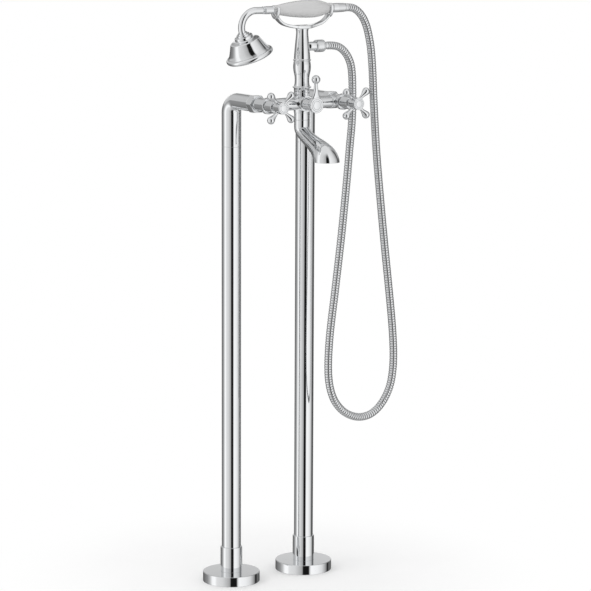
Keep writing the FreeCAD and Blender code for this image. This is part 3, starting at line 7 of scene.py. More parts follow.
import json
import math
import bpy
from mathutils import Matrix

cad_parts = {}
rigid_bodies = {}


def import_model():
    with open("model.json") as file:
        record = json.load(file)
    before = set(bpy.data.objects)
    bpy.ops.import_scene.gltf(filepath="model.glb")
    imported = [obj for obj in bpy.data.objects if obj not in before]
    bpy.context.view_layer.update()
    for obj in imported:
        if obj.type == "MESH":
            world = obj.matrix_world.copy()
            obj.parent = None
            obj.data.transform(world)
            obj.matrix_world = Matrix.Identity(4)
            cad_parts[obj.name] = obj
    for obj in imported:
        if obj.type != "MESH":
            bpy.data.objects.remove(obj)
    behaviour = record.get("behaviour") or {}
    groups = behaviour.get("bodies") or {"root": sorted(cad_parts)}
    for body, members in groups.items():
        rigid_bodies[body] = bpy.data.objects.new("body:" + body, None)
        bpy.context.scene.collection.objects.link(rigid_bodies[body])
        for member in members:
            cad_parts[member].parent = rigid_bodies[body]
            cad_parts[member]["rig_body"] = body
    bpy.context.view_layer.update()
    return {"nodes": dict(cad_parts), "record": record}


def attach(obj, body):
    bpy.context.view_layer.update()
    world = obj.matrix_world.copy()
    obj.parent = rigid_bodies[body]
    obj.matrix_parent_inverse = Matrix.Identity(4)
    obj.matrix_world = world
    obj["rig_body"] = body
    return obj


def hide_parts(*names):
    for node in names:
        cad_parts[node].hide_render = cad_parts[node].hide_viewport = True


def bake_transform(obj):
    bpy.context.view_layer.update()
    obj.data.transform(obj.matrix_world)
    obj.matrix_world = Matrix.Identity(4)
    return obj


bl_info = {
    "name": "Floor Standing Bath Filler",
    "version": (1, 0, 0),
    "blender": (4, 5, 0),
    "location": "3D View > Sidebar > Bath Filler",
    "description": "Builds the polished pieces, the hose and the stage of a floor standing bath filler",
    "category": "Add Mesh",
}

from types import SimpleNamespace

import bpy
import numpy as np
from mathutils import Matrix

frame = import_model()

FORWARD = np.array((0.0, -1.0, 0.0))
RIGHT = np.array((1.0, 0.0, 0.0))
UP = np.array((0.0, 0.0, 1.0))
SIDES = (("hot", -1.0), ("cold", 1.0))

# The hose's route from the riser's outlet to the handset: X and height, in metres.
HOSE_ROUTE = (
    (0.05, 0.935), (0.06, 0.935), (0.0735, 0.9326), (0.084, 0.9256), (0.0925, 0.9155),
    (0.0985, 0.903), (0.1013, 0.889), (0.1028, 0.862), (0.1028, 0.808), (0.0982, 0.7653),
    (0.0933, 0.7124), (0.0889, 0.6697), (0.0812, 0.6012), (0.0721, 0.5326), (0.0676, 0.4982),
    (0.0625, 0.4639), (0.0584, 0.4294), (0.056, 0.39), (0.0573, 0.357), (0.0655, 0.328),
    (0.079, 0.3088), (0.0958, 0.2953), (0.118, 0.2868), (0.1404, 0.2874), (0.1584, 0.2962),
    (0.172, 0.3096), (0.1826, 0.3264), (0.189, 0.344), (0.1925, 0.3668), (0.1933, 0.3898),
    (0.1921, 0.4165), (0.189, 0.4522), (0.1801, 0.5235), (0.1708, 0.5943), (0.1604, 0.6822),
    (0.1528, 0.7518), (0.1472, 0.827), (0.1452, 0.8605), (0.1435, 0.893), (0.1403, 0.9256),
    (0.1372, 0.941), (0.1336, 0.956), (0.1286, 0.9702), (0.1215, 0.9825), (0.1105, 0.993),
    (0.099, 0.998), (0.088, 0.998),
)

# Places and small sizes that pieces share, in millimetres.
BONNET_FACE = 112.0  # in front of the standpipes' axes, as are the next two
LEVER_BACK = 142.8
HUB_BACK = 148.3
NUT_GAP = 0.3  # between an elbow's end and its union nut
ARM_PLANE = 8.0  # from a hub's back to the plane of its arms
HUB_RECESS = 2.4  # depth of the seat for a handle's cap
LEVER_THICKNESS = 8.0
LEVER_RECESS = 1.6
LEVER_SEAT_RADIUS = 10.0
CAP_PLAY = 0.05  # between a cap's edge and its seat
BOSS_FACE = 14.2  # from a valve's axis towards the bar's middle
MIDDLE_FOOT = -15.5  # above the mixer's axis, as is the next
MIDDLE_TOP = 19.0
TAILPIECE_LENGTH = 12.0
STRAIGHTENER_SEAT = 2.8  # above the spout's mouth
BALUSTER_LENGTH = 52.6
OUTLET_SHOULDER = 26.0  # from the riser's axis, as are the next two
OUTLET_FERRULE = 38.0
HANDSET_FERRULE = 85.0
FRONT_NECK = 7.8  # radius of the grip's neck
REAR_NECK = 8.6
GOOSENECK_START = 21.0  # from the grip's end
GOOSENECK_LEVEL = 14.2  # straight tube before the bend
BELL_TOP = 9.0  # down the head's axis from its nut, as are the next two
RIM_TOP = 35.0
SPRAY_PLATE_TOP = 38.8
FORK_PLACE = 53.3  # from the riser's axis to the middle of a fork
NECK_PLAY = 0.3  # between a fork and the grip's neck
HEAD_TILT = 21.0  # degrees

# The camera, fitted to the photograph: angles in degrees, places in metres, focal length in pixels.
CAMERA_YAW = -33.0
CAMERA_PITCH = 9.47
CAMERA_ROLL = 0.23
CAMERA_TARGET = (0.01738, -0.060, 0.5042)
CAMERA_DISTANCE = 4.782
FOCAL_PIXELS = 2783.0
PICTURE_PIXELS = 591.0
SENSOR_WIDTH = 36.0  # millimetres

WHITE = (1.0, 1.0, 1.0, 1.0)


# ---------------------------------------------------------------- sizes and colours


def length(name, millimetres, description):
    """A length that is written in millimetres and kept in metres."""
    return bpy.props.FloatProperty(
        name=name, description=description, default=millimetres / 1000.0,
        min=0.0, precision=5, unit="LENGTH",
    )


def colour(name, shade, description):
    """A linear colour."""
    return bpy.props.FloatVectorProperty(
        name=name, description=description, default=shade, size=3, min=0.0, max=1.0, subtype="COLOR",
    )


def share(name, amount, description):
    """A number between nought and one."""
    return bpy.props.FloatProperty(
        name=name, description=description, default=amount, min=0.0, max=1.0, subtype="FACTOR",
    )


class FillerSizes(bpy.types.PropertyGroup):
    """Sizes of the visible pieces."""

    leg_spacing: length("Leg spacing", 150.0, "Between the axes of the two standpipes")
    axis_height: length("Axis height", 840.0, "Mixer's axis above the floor")
    bar_reach: length("Bar reach", 104.0, "From the standpipes forward to the mixer bar")
    flange_radius: length("Flange radius", 49.5, "Round floor flange")
    flange_height: length("Flange height", 17.0, "Round floor flange")
    collar_radius: length("Collar radius", 18.9, "Sleeve at the foot of a standpipe")
    collar_height: length("Collar height", 44.0, "Sleeve above the flange")
    pipe_radius: length("Standpipe radius", 16.65, "Visible upright tube")
    seam_drop: length("Seam drop", 78.5, "From the mixer's axis down to the elbow's seam")
    elbow_bend: length("Elbow bend", 21.0, "Bend radius along the elbow's middle")
    elbow_radius: length("Elbow arm radius", 13.7, "Elbow's forward arm")
    elbow_reach: length("Elbow reach", 69.6, "From the standpipe's axis to the union nut")
    nut_flats: length("Union nut", 28.0, "Hexagon across its flats")
    nut_length: length("Union nut length", 16.0, "Along the water way")
    body_radius: length("Valve body radius", 11.8, "Round body behind the bonnet")
    ring_radius: length("Bonnet ring radius", 13.8, "Widest ring of a bonnet")
    bonnet_radius: length("Bonnet radius", 11.6, "Sleeve behind a handle")
    hub_radius: length("Hub radius", 10.3, "Cross handle's hub")
    hub_length: length("Hub length", 17.0, "Cross handle's hub")
    arm_reach: length("Arm reach", 27.8, "From the hub's axis to the middle of a bulb")
    bulb_radius: length("Bulb radius", 6.5, "End of a handle's arm")
    cap_radius: length("Cap radius", 8.4, "Round cap in a handle's hub")
    bar_radius: length("Bar radius", 10.0, "Mixer bar beside its end rings")
    middle_radius: length("Middle body radius", 13.5, "Upright body in the bar's middle")
    lever_radius: length("Lever disc radius", 13.1, "Diverter lever's disc")
    lever_length: length("Lever length", 43.0, "From the disc's axis to the ball")
    ball_radius: length("Ball radius", 7.3, "Lever's ball")
    tailpiece_radius: length("Tailpiece radius", 12.8, "Short column over the spout")
    mouth_radius: length("Mouth radius", 22.0, "Spout's mouth")
    mouth_reach: length("Mouth reach", 76.0, "Spout's mouth in front of the bar")
    mouth_drop: length("Mouth drop", 92.0, "Spout's mouth below the mixer's axis")
    outlet_rise: length("Outlet rise", 95.0, "Hose outlet above the mixer's axis")
    handset_rise: length("Handset rise", 158.0, "Hand shower above the mixer's axis")
    grip_half: length("Grip half length", 56.8, "Ceramic grip")
    grip_belly_radius: length("Grip belly radius", 14.9, "Ceramic grip at its thickest")
    gooseneck_radius: length("Gooseneck radius", 5.75, "Bent tube of the hand shower")
    gooseneck_bend: length("Gooseneck bend", 27.5, "Bend radius along the tube's middle")
    rim_radius: length("Rim radius", 40.2, "Rim of the shower head")
    hose_radius: length("Hose radius", 6.7, "Hose over its ribs")
    rib_pitch: length("Rib pitch", 4.4, "From one rib of the hose to the next")
    rib_height: length("Rib height", 1.2, "Depth of the groove between ribs")
    hose_length: length("Hose length", 1500.0, "Hose between its ferrules")


class FillerFinishes(bpy.types.PropertyGroup):
    """Colours and polish of the finishes."""

    chrome: colour("Chrome", (0.80, 0.81, 0.82), "Mirror polished chrome plate")
    hose_metal: colour("Hose metal", (0.74, 0.75, 0.76), "Ribbed metal sleeve")
    porcelain: colour("Ceramic", (0.58, 0.58, 0.58), "Glazed grip")
    steel: colour("Steel", (0.60, 0.60, 0.60), "Zinc plated steel")
    copper: colour("Copper", (0.72, 0.45, 0.33), "Supply tube")
    brass: colour("Brass", (0.78, 0.64, 0.38), "Machined brass")
    rubber: colour("Rubber", (0.05, 0.05, 0.05), "Washers")
    plastic: colour("Spray plastic", (0.78, 0.78, 0.78), "Spray plate and straightener")
    polish: share("Chrome roughness", 0.035, "Smaller is more mirror like")
    floor: colour("Floor", (0.93, 0.93, 0.93), "Plain pale floor")


def measures():
    """Every size in millimetres."""
    sizes = bpy.context.scene.filler_sizes
    names = FillerSizes.__annotations__
    return SimpleNamespace(**{name: getattr(sizes, name) * 1000.0 for name in names})


# ---------------------------------------------------------------- surfaces


def on_riser(size, x, rise=0.0):
    """A place in the riser's plane, by its X and its height above the mixer's axis."""
    return (x, -size.bar_reach, size.axis_height + rise)


def unit(vector):
    """A vector divided by its own length."""
    return np.asarray(vector, float) / np.linalg.norm(vector)


def rounded(corners):
    """A profile through (radius, height) corners; a third number rounds a corner.

    A rounded corner is the quadratic curve that leaves one edge and meets the other at the same
    distance from the corner, and a place just beside each of its ends keeps the flats flat. An
    array among the corners is a curve that stays as it is.
    """
    corners = [
        spot for corner in corners
        for spot in (corner.tolist() if isinstance(corner, np.ndarray) else [corner])
    ]
    spots = np.array([corner[:2] for corner in corners], float)
    run = []
    for index, corner in enumerate(corners):
        spot = spots[index]
        if len(corner) < 3:
            run.append(spot[None])
            continue
        back = spots[index - 1] - spot
        ahead = spots[(index + 1) % len(spots)] - spot
        cut = min(corner[2], 0.42 * np.hypot(*back), 0.42 * np.hypot(*ahead))
        first = spot + unit(back) * cut
        last = spot + unit(ahead) * cut
        along = np.linspace(0.0, 1.0, 7)[:, None]
        curve = (1 - along) ** 2 * first + 2 * along * (1 - along) * spot + along**2 * last
        run.append((spot + unit(back) * cut * 1.15)[None])
        run.append(curve)
        run.append((spot + unit(ahead) * cut * 1.15)[None])
    return np.concatenate(run)


def arched(start, end, rise, count=24):
    """A parabola from start to end that stands off their line by rise, to the right of the way."""
    start, end = np.asarray(start, float), np.asarray(end, float)
    along = np.linspace(0.0, 1.0, count)[:, None]
    chord = end - start
    off = unit((chord[1], -chord[0]))
    return start + chord * along + off * (4.0 * rise) * along * (1.0 - along)


def smooth_through(stations, steps=12):
    """A Catmull-Rom curve through the rows of stations, each piece cut into equal steps."""
    rows = np.asarray(stations, float)
    rows = np.concatenate((2 * rows[:1] - rows[1:2], rows, 2 * rows[-1:] - rows[-2:-1]))
    along = (np.arange(steps) / steps)[None, :, None]
    before, here, after, beyond = (rows[i:len(rows) - 3 + i, None] for i in range(4))
    curve = 0.5 * (
        2 * here
        + (after - before) * along
        + (2 * before - 5 * here + 4 * after - beyond) * along**2
        + (3 * here - before - 3 * after + beyond) * along**3
    )
    return np.concatenate((curve.reshape(-1, rows.shape[1]), rows[-2:-1]))


def woven(grid, loop=False):
    """Join a grid of points (rows, columns, 3) into a shell of quads, closed round its columns.

    Points at the same place are made one and keep their order, so poles and seams close, and
    quads that lose a corner become triangles. The shell's enclosed volume is made positive.
    """
    rows, columns, _ = grid.shape
    flat = grid.reshape(-1, 3)
    index = np.arange(rows * columns).reshape(rows, columns)
    below = index if loop else index[:-1]
    above = np.roll(index, -1, axis=0) if loop else index[1:]
    quads = np.stack((below, np.roll(below, -1, 1), np.roll(above, -1, 1), above), -1).reshape(-1, 4)
    _, keep, merged = np.unique(np.round(flat, 5), axis=0, return_index=True, return_inverse=True)
    order = np.argsort(keep)
    points = flat[keep[order]]
    quads = np.argsort(order)[merged.reshape(-1)][quads]
    same = quads == np.roll(quads, -1, axis=1)
    whole = quads[same.sum(1) == 0]
    torn = same.sum(1) == 1
    rest = quads[torn]
    rest = rest[~same[torn]].reshape(-1, 3)
    halves = np.concatenate((whole[:, (0, 1, 2)], whole[:, (0, 2, 3)], rest))
    corners = points[halves] - points.mean(0)
    volume = np.einsum("ij,ij->i", corners[:, 0], np.cross(corners[:, 1], corners[:, 2])).sum()
    if volume < 0:
        whole, rest = whole[:, ::-1], rest[:, ::-1]
    return points, whole, rest


def circle(radius, around=64):
    """One round outline, or one for each radius given."""
    angle = np.arange(around) * (2.0 * math.pi / around)
    ring = np.stack((np.cos(angle), np.sin(angle)), -1)
    return np.multiply.outer(np.asarray(radius, float), ring)


def ring_about(way, around):
    """Unit steps away from an axis, evenly round it: cos a side + sin a lift."""
    side = unit(np.cross(way, UP if abs(way[2]) < 0.9 else RIGHT))
    turn = circle(1.0, around)
    return turn[:, :1] * side + turn[:, 1:] * np.cross(way, side)


def lathe(profile, spot, way, around=96):
    """Turn a profile about an axis: point = spot + radius (cos a side + sin a lift) + height way.

    A profile that starts and ends on the axis closes there, and any other closes on itself.
    """
    profile = np.asarray(profile, float)
    way = unit(way)
    grid = (
        np.asarray(spot, float)
        + profile[:, 0, None, None] * ring_about(way, around)[None]
        + profile[:, 1, None, None] * way
    )
    meets_axis = profile[0, 0] < 1e-6 and profile[-1, 0] < 1e-6
    return woven(grid, loop=not meets_axis)


def turned(corners, spot, way, around=96):
    """Turn an outline of rounded (radius, height) corners about the axis through a spot."""
    return lathe(rounded(corners), spot, way, around)


def carried(path, sections, across):
    """Carry sections along a flat path: point = place + a across + b lift, lift square to the way.

    Sections is one closed outline of (a, b) or one for each place. Both ends close on their middle.
    """
    path = np.asarray(path, float)
    across = unit(across)
    way = np.gradient(path, axis=0)
    way /= np.linalg.norm(way, axis=1)[:, None]
    lift = np.cross(way, across)
    sections = np.broadcast_to(sections, (len(path),) + np.shape(sections)[-2:])
    grid = path[:, None] + sections[..., :1] * across + sections[..., 1:] * lift[:, None]
    ends = [np.broadcast_to(row.mean(0), row.shape)[None] for row in (grid[0], grid[-1])]
    return woven(np.concatenate((ends[0], grid, ends[1])))


def slab(width, thickness, rounding, count=8):
    """A rounded rectangle: a superellipse corner of the given rounding at each of its corners."""
    angle = np.linspace(0.0, math.pi / 2.0, count)
    half = np.array((width / 2.0 - rounding, thickness / 2.0 - rounding))
    corner = rounding * np.stack((np.cos(angle), np.sin(angle)), -1)
    turns = ((1, 1), (-1, 1), (-1, -1), (1, -1))
    parts = []
    for number, turn in enumerate(turns):
        part = (corner if number % 2 == 0 else corner[::-1]) + half
        parts.append(part * np.array(turn))
    return np.concatenate(parts)


def hexagon(flats, tall, chamfer, hole, spot, way, around=144):
    """A hexagonal nut: at each height the radius is the smaller of the hexagon's and a cone's.

    The hexagon's radius at angle a is half its flats over cos(a folded into one sixth turn), and
    the cone runs from the flats' radius at each end out to the corners.
    """
    way = unit(way)
    angle = np.arange(around) * (2.0 * math.pi / around)
    sixth = math.pi / 3.0
    six = flats / 2.0 / np.cos(angle % sixth - sixth / 2.0)
    height = np.concatenate((
        np.linspace(0.0, chamfer, 9), np.linspace(chamfer * 1.05, tall - chamfer * 1.05, 4),
        np.linspace(tall - chamfer, tall, 9),
    ))
    slope = (flats / math.sqrt(3.0) - flats / 2.0 + 0.3) / chamfer
    limit = flats / 2.0 - 0.3 + np.minimum(height, tall - height) * slope
    bore = np.full((1, around), hole)
    radius = np.concatenate((bore, np.minimum(six[None], limit[:, None]), bore))
    height = np.concatenate(([0.0], height, [tall]))
    out = radius[..., None] * ring_about(way, around)
    return woven(np.asarray(spot, float) + out + height[:, None, None] * way, loop=True)


def joined(*shells):
    """Several shells as one."""
    points, quads, rest, start = [], [], [], 0
    for spots, whole, three in shells:
        points.append(spots)
        quads.append(whole + start)
        rest.append(three + start)
        start += len(spots)
    return np.concatenate(points), np.concatenate(quads), np.concatenate(rest)


# ---------------------------------------------------------------- finishes


FINISHES = {}


def new_finish(name, tone, roughness, metallic=0.0):
    """A plain material, its node tree and its shader, for the rest of a finish to be added to."""
    material = bpy.data.materials.new(name)
    material.use_nodes = True
    shader = material.node_tree.nodes["Principled BSDF"]
    shader.inputs["Base Color"].default_value = (*tone, 1.0)
    shader.inputs["Roughness"].default_value = roughness
    shader.inputs["Metallic"].default_value = metallic
    return material, material.node_tree, shader


def added(tree, kind, sockets=None, **settings):
    """Add a node with its settings; each socket gets a constant or another node's output."""
    node = tree.nodes.new(kind)
    for name, value in settings.items():
        setattr(node, name, value)
    for socket, value in (sockets or {}).items():
        if isinstance(value, bpy.types.NodeSocket):
            tree.links.new(value, node.inputs[socket])
        else:
            node.inputs[socket].default_value = value
    return node


def cloudy(tree, scale, detail=4.0, stretch=(1.0, 1.0, 1.0)):
    """Noise in the object's own metres; stretch above 1 makes it finer along that axis."""
    place = added(tree, "ShaderNodeTexCoord")
    mapping = added(tree, "ShaderNodeMapping", {"Vector": place.outputs["Object"], "Scale": stretch})
    noise = added(tree, "ShaderNodeTexNoise", {
        "Vector": mapping.outputs["Vector"], "Scale": scale, "Detail": detail,
    })
    return noise.outputs["Fac"]


def tinted(tree, shader, source, dark, light):
    """Let the colour wander between two tones over a texture's middle values."""
    ramp = added(tree, "ShaderNodeValToRGB", {"Fac": source})
    for stop, position, tone in zip(ramp.color_ramp.elements, (0.35, 0.65), (dark, light)):
        stop.position = position
        stop.color = (*tone, 1.0)
    tree.links.new(ramp.outputs["Color"], shader.inputs["Base Color"])


def worn(tree, shader, source, smooth, rough):
    """Let the roughness wander between two levels over a texture's middle values."""
    ranged = added(tree, "ShaderNodeMapRange", {
        "Value": source, "From Min": 0.3, "From Max": 0.7, "To Min": smooth, "To Max": rough,
    })
    tree.links.new(ranged.outputs["Result"], shader.inputs["Roughness"])


def grained(tree, shader, source, depth):
    """Raise the surface by a texture, depth in metres."""
    bump = added(tree, "ShaderNodeBump", {"Strength": 0.6, "Distance": depth, "Height": source})
    tree.links.new(bump.outputs["Normal"], shader.inputs["Normal"])


def shades(tone, amount):
    """A tone a share darker and the same share lighter."""
    darker = tuple(part * (1.0 - amount) for part in tone)
    lighter = tuple(min(1.0, part * (1.0 + amount)) for part in tone)
    return darker, lighter


def polished_chrome(looks):
    """Mirror plate with a very slight wave and a polish that varies as if wiped by hand."""
    material, tree, shader = new_finish("polished_chrome", looks.chrome, looks.polish, 1.0)
    tinted(tree, shader, cloudy(tree, 9.0, 2.0), *shades(looks.chrome, 0.012))
    worn(tree, shader, cloudy(tree, 40.0, 6.0), looks.polish * 0.6, looks.polish * 1.9)
    grained(tree, shader, cloudy(tree, 14.0, 1.0), 0.00002)
    return material


def hose_metal(looks):
    """The hose's sleeve: bright ribs, with painted shade, a near black tone, laid in each groove by the
    mesh's own groove attribute.
    """
    material, tree, shader = new_finish("hose_metal", looks.hose_metal, 0.12, 1.0)
    groove_shade = added(tree, "ShaderNodeAttribute", attribute_name="groove")
    # Painted shade: the near black second tone darkens each groove between the ribs, by the groove
    # attribute.
    tinted(tree, shader, groove_shade.outputs["Fac"], looks.hose_metal, (0.03, 0.03, 0.03))
    worn(tree, shader, cloudy(tree, 300.0, 4.0), 0.07, 0.20)
    return material


def glazed_ceramic(looks):
    """A pale glaze: a glossy coat over a body that waves a little."""
    material, tree, shader = new_finish("glazed_ceramic", looks.porcelain, 0.10)
    tinted(tree, shader, cloudy(tree, 35.0, 3.0), *shades(looks.porcelain, 0.010))
    shader.inputs["Coat Weight"].default_value = 0.8
    shader.inputs["Coat Roughness"].default_value = 0.03
    worn(tree, shader, cloudy(tree, 90.0, 3.0), 0.08, 0.16)
    grained(tree, shader, cloudy(tree, 45.0, 2.0), 0.00004)
    return material


def zinc_plated_steel(looks):
    """Dull plated steel, blotched, with a finer grain up its height."""
    material, tree, shader = new_finish("zinc_plated_steel", looks.steel, 0.35, 1.0)
    tinted(tree, shader, cloudy(tree, 160.0, 5.0), *shades(looks.steel, 0.10))
    worn(tree, shader, cloudy(tree, 400.0, 3.0, (1.0, 1.0, 6.0)), 0.25, 0.5)
    return material


def drawn_copper(looks):
    """Darkening copper with the long upright streaks that drawing leaves."""
    material, tree, shader = new_finish("drawn_copper", looks.copper, 0.28, 1.0)
    tinted(tree, shader, cloudy(tree, 30.0, 5.0), *shades(looks.copper, 0.14))
    worn(tree, shader, cloudy(tree, 500.0, 3.0, (1.0, 1.0, 0.05)), 0.2, 0.4)
    return material


def machined_brass(looks):
    """Brass with fine tool marks, closest together from front to back."""
    material, tree, shader = new_finish("machined_brass", looks.brass, 0.25, 1.0)
    tinted(tree, shader, cloudy(tree, 80.0, 4.0), *shades(looks.brass, 0.08))
    grained(tree, shader, cloudy(tree, 900.0, 2.0, (1.0, 6.0, 1.0)), 0.00003)
    return material


def washer_rubber(looks):
    """Dull rubber with a fine pitted skin."""
    material, tree, shader = new_finish("washer_rubber", looks.rubber, 0.7)
    tinted(tree, shader, cloudy(tree, 200.0, 4.0), *shades(looks.rubber, 0.25))
    grained(tree, shader, cloudy(tree, 1500.0, 3.0), 0.00005)
    return material


def spray_plastic(looks):
    """Pale moulded plastic with a faint mould texture."""
    material, tree, shader = new_finish("spray_plastic", looks.plastic, 0.35)
    tinted(tree, shader, cloudy(tree, 120.0, 3.0), *shades(looks.plastic, 0.03))
    grained(tree, shader, cloudy(tree, 1800.0, 2.0), 0.00002)
    return material


FINISH_MAKERS = {
    "chrome": polished_chrome,
    "hose_metal": hose_metal,
    "porcelain": glazed_ceramic,
    "steel": zinc_plated_steel,
    "copper": drawn_copper,
    "valve_brass": machined_brass,
    "rubber": washer_rubber,
    "spray_plastic": spray_plastic,
}


def make_finishes(looks):
    """One procedural material for each of the record's slots."""
    for slot, maker in FINISH_MAKERS.items():
        FINISHES[slot] = maker(looks)


def add_piece(node, shell, slot="chrome", body=None):
    """Make the mesh that stands for a CAD node, in metres, riding on that node's own body.

    A body named here is ridden on instead, and with False the caller says what the piece follows.
    """
    points, quads, rest = shell
    mesh = bpy.data.meshes.new(node + "_finish")
    mesh.from_pydata((points / 1000.0).tolist(), [], quads.tolist() + rest.tolist())
    mesh.polygons.foreach_set("use_smooth", np.ones(len(mesh.polygons), bool))
    mesh.update()
    mesh.materials.append(FINISHES[slot])
    piece = bpy.data.objects.new(node + "_finish", mesh)
    bpy.context.scene.collection.objects.link(piece)
    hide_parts(node)
    if body is not False:
        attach(piece, body or frame["nodes"][node]["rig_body"])
    return piece


# ---------------------------------------------------------------- feet, standpipes and elbows


def flange_cover(size, x):
    """A shallow round cup, open below, with a softly turned upper edge."""
    wall = 2.0
    return turned((
        (size.pipe_radius + 1.0, size.flange_height, 0.3),
        (size.flange_radius, size.flange_height, 1.1),
        (size.flange_radius, 0.0, 0.4),
        (size.flange_radius - wall, 0.0, 0.3),
        (size.flange_radius - wall, size.flange_height - wall, 0.5),
        (size.pipe_radius + 1.0, size.flange_height - wall, 0.3),
    ), (x, 0.0, 0.0), UP, 160)


def collar(size, x):
    """A plain sleeve on the flange, turned about the standpipe's axis, with a softer upper edge."""
    top = size.flange_height + size.collar_height
    inside = size.pipe_radius + 0.1
    return turned((
        (inside, size.flange_height, 0.2),
        (size.collar_radius, size.flange_height, 0.3),
        (size.collar_radius, top, 0.9),
        (inside, top, 0.3),
    ), (x, 0.0, 0.0), UP, 128)


def standpipe(size, x):
    """The upright tube from inside the flange cover to the elbow's seam."""
    foot, top = 12.0, size.axis_height - size.seam_drop
    inside = size.pipe_radius - 1.5
    return turned((
        (inside, foot, 0.2),
        (size.pipe_radius, foot, 0.2),
        (size.pipe_radius, top, 0.35),
        (inside, top, 0.2),
    ), (x, 0.0, 0.0), UP, 128)


def elbow(size, x):
    """A bend that narrows from the standpipe's radius to its forward arm's.

    Its middle rises, turns a quarter circle forward and runs level, and its radius eases from
    the one to the other over the turn.
    """
    pipe, arm, end = size.pipe_radius, size.elbow_radius, size.elbow_reach
    seam = size.axis_height - size.seam_drop
    foot = size.axis_height - size.elbow_bend
    turn = np.linspace(0.0, math.pi / 2.0, 33)
    ease = np.clip((turn / turn[-1]) * 1.15 - 0.05, 0.0, 1.0)
    ease = ease * ease * (3.0 - 2.0 * ease)
    narrowing = pipe + (arm - pipe) * ease
    # Height and radius on the standpipe, then place forward and radius along the arm.
    rise = np.array((
        (seam - 16.0, pipe - 1.7), (seam - 0.25, pipe - 1.7), (seam, pipe - 0.7), (seam + 0.02, pipe - 0.3),
        (seam + 0.15, pipe - 0.06), (seam + 0.35, pipe), (seam + 0.8, pipe), (seam + 12.0, pipe),
        (foot - 6.0, pipe), (foot - 0.5, pipe),
    ))
    run = np.array((
        (size.elbow_bend + 0.5, arm), (size.elbow_bend + 8.0, arm), (end - 1.4, arm), (end - 0.9, arm),
        (end - 0.45, arm - 0.12), (end - 0.12, arm - 0.45), (end - 0.02, arm - 0.9), (end, arm - 1.3),
        (end + 0.02, 9.8), (end + 4.6, 9.8), (end + 4.62, 12.0), (end + 7.4, 12.0),
    ))
    path = np.concatenate((
        np.stack((np.zeros(len(rise)), rise[:, 0]), -1),
        np.stack((size.elbow_bend * (1.0 - np.cos(turn)), foot + size.elbow_bend * np.sin(turn)), -1),
        np.stack((run[:, 0], np.full(len(run), size.axis_height)), -1),
    ))
    radius = np.concatenate((rise[:, 1], narrowing, run[:, 1]))
    middle = np.stack((np.full(len(path), x), -path[:, 0], path[:, 1]), -1)
    return carried(middle, circle(radius, 112), RIGHT)


# ---------------------------------------------------------------- valves


def valve_body(size, x, inward):
    """The body behind the bonnet, its threaded end, and the round boss that the bar joins."""
    start, end = 79.0, BONNET_FACE
    shell = turned((
        (6.0, 0.0, 0.2),
        (12.1, 0.0, 0.2),
        (12.1, 6.9, 0.2),
        (size.body_radius, 6.9, 0.1),
        (size.body_radius, end - start, 0.3),
        (6.0, end - start, 0.2),
    ), (x, -start, size.axis_height), FORWARD, 112)
    boss = turned((
        (0.0, 0.0),
        (11.4, 0.0),
        (11.4, BOSS_FACE, 0.35),
        (0.0, BOSS_FACE),
    ), on_riser(size, x), RIGHT * inward, 112)
    return joined(shell, boss)


def bonnet(size, x, sleeve, tip_radius, nose):
    """A rounded ring, a slightly tapering sleeve and a stepped nose round the spindle."""
    ring = 9.0
    tip = ring + sleeve
    return turned((
        (8.5, 0.0, 0.2),
        (size.ring_radius, 0.0, 2.0),
        (size.ring_radius, ring, 2.4),
        (size.bonnet_radius, ring, 0.35),
        (size.bonnet_radius - 0.1, ring + 3.0),
        (tip_radius, tip, 0.9),
        (8.8, tip, 0.25),
        (8.8, tip + nose, 0.5),
        (4.08, tip + nose, 0.2),
        (4.08, tip - 4.0, 0.2),
        (8.5, tip - 4.0, 0.2),
    ), (x, -BONNET_FACE, size.axis_height), FORWARD, 112)


# ---------------------------------------------------------------- cross handles


def handle_arms(size, x, plane):
    """Four arms on the diagonals, each slim at the hub and swelling into a drop shaped bulb.

    The swelling is a smooth curve through a few radii, and a round of the bulb's own radius ends it.
    """
    reach, bulb = size.arm_reach, size.bulb_radius
    stalk = smooth_through((
        (2.75, 7.3), (2.7, 10.3), (2.75, 13.5), (3.15, 17.0), (4.05, 20.3), (5.2, 23.3),
        (6.2, reach - 1.7), (bulb, reach),
    ), 6)
    turn = np.linspace(0.0, math.pi / 2.0, 20)[1:]
    tip = np.stack((bulb * np.cos(turn), reach + bulb * np.sin(turn)), -1)
    tip[-1, 0] = 0.0
    profile = np.concatenate((((0.0, 7.3),), stalk, tip))
    arms = []
    for number in range(4):
        turn = math.radians(45.0 + 90.0 * number)
        way = np.array((math.sin(turn), 0.0, math.cos(turn)))
        arms.append(lathe(profile, (x, -plane, size.axis_height), way, 48))
    return joined(*arms)


def handle_hub(size, x, start):
    """A short round hub with a recess for its cap."""
    end = size.hub_length
    return turned((
        (4.0, 0.0, 0.2),
        (size.hub_radius - 0.6, 0.0, 0.5),
        (size.hub_radius, 1.6, 0.8),
        (size.hub_radius, end, 1.5),
        (size.cap_radius, end, 0.5),
        (size.cap_radius, end - HUB_RECESS, 0.1),
        (3.6, end - HUB_RECESS, 0.1),
        (3.6, 9.0, 0.1),
        (4.0, 9.0, 0.1),
    ), (x, -start, size.axis_height), FORWARD, 112)


def crowned_cap(size, x, start, radius, thick):
    """A bare disc whose face is a shallow dome inside a fine groove."""
    dome = arched((radius * 0.70, thick + 0.1), (0.0, thick + 0.6), 0.12, 16)
    return turned((
        (0.0, 0.0),
        (radius, 0.0, 0.2),
        (radius, thick, 0.9),
        (radius * 0.79, thick + 0.05, 0.1),
        (radius * 0.75, thick - 0.75, 0.1),
        dome,
    ), (x, -start, size.axis_height), FORWARD, 96)


# ---------------------------------------------------------------- bar, diverter and lever


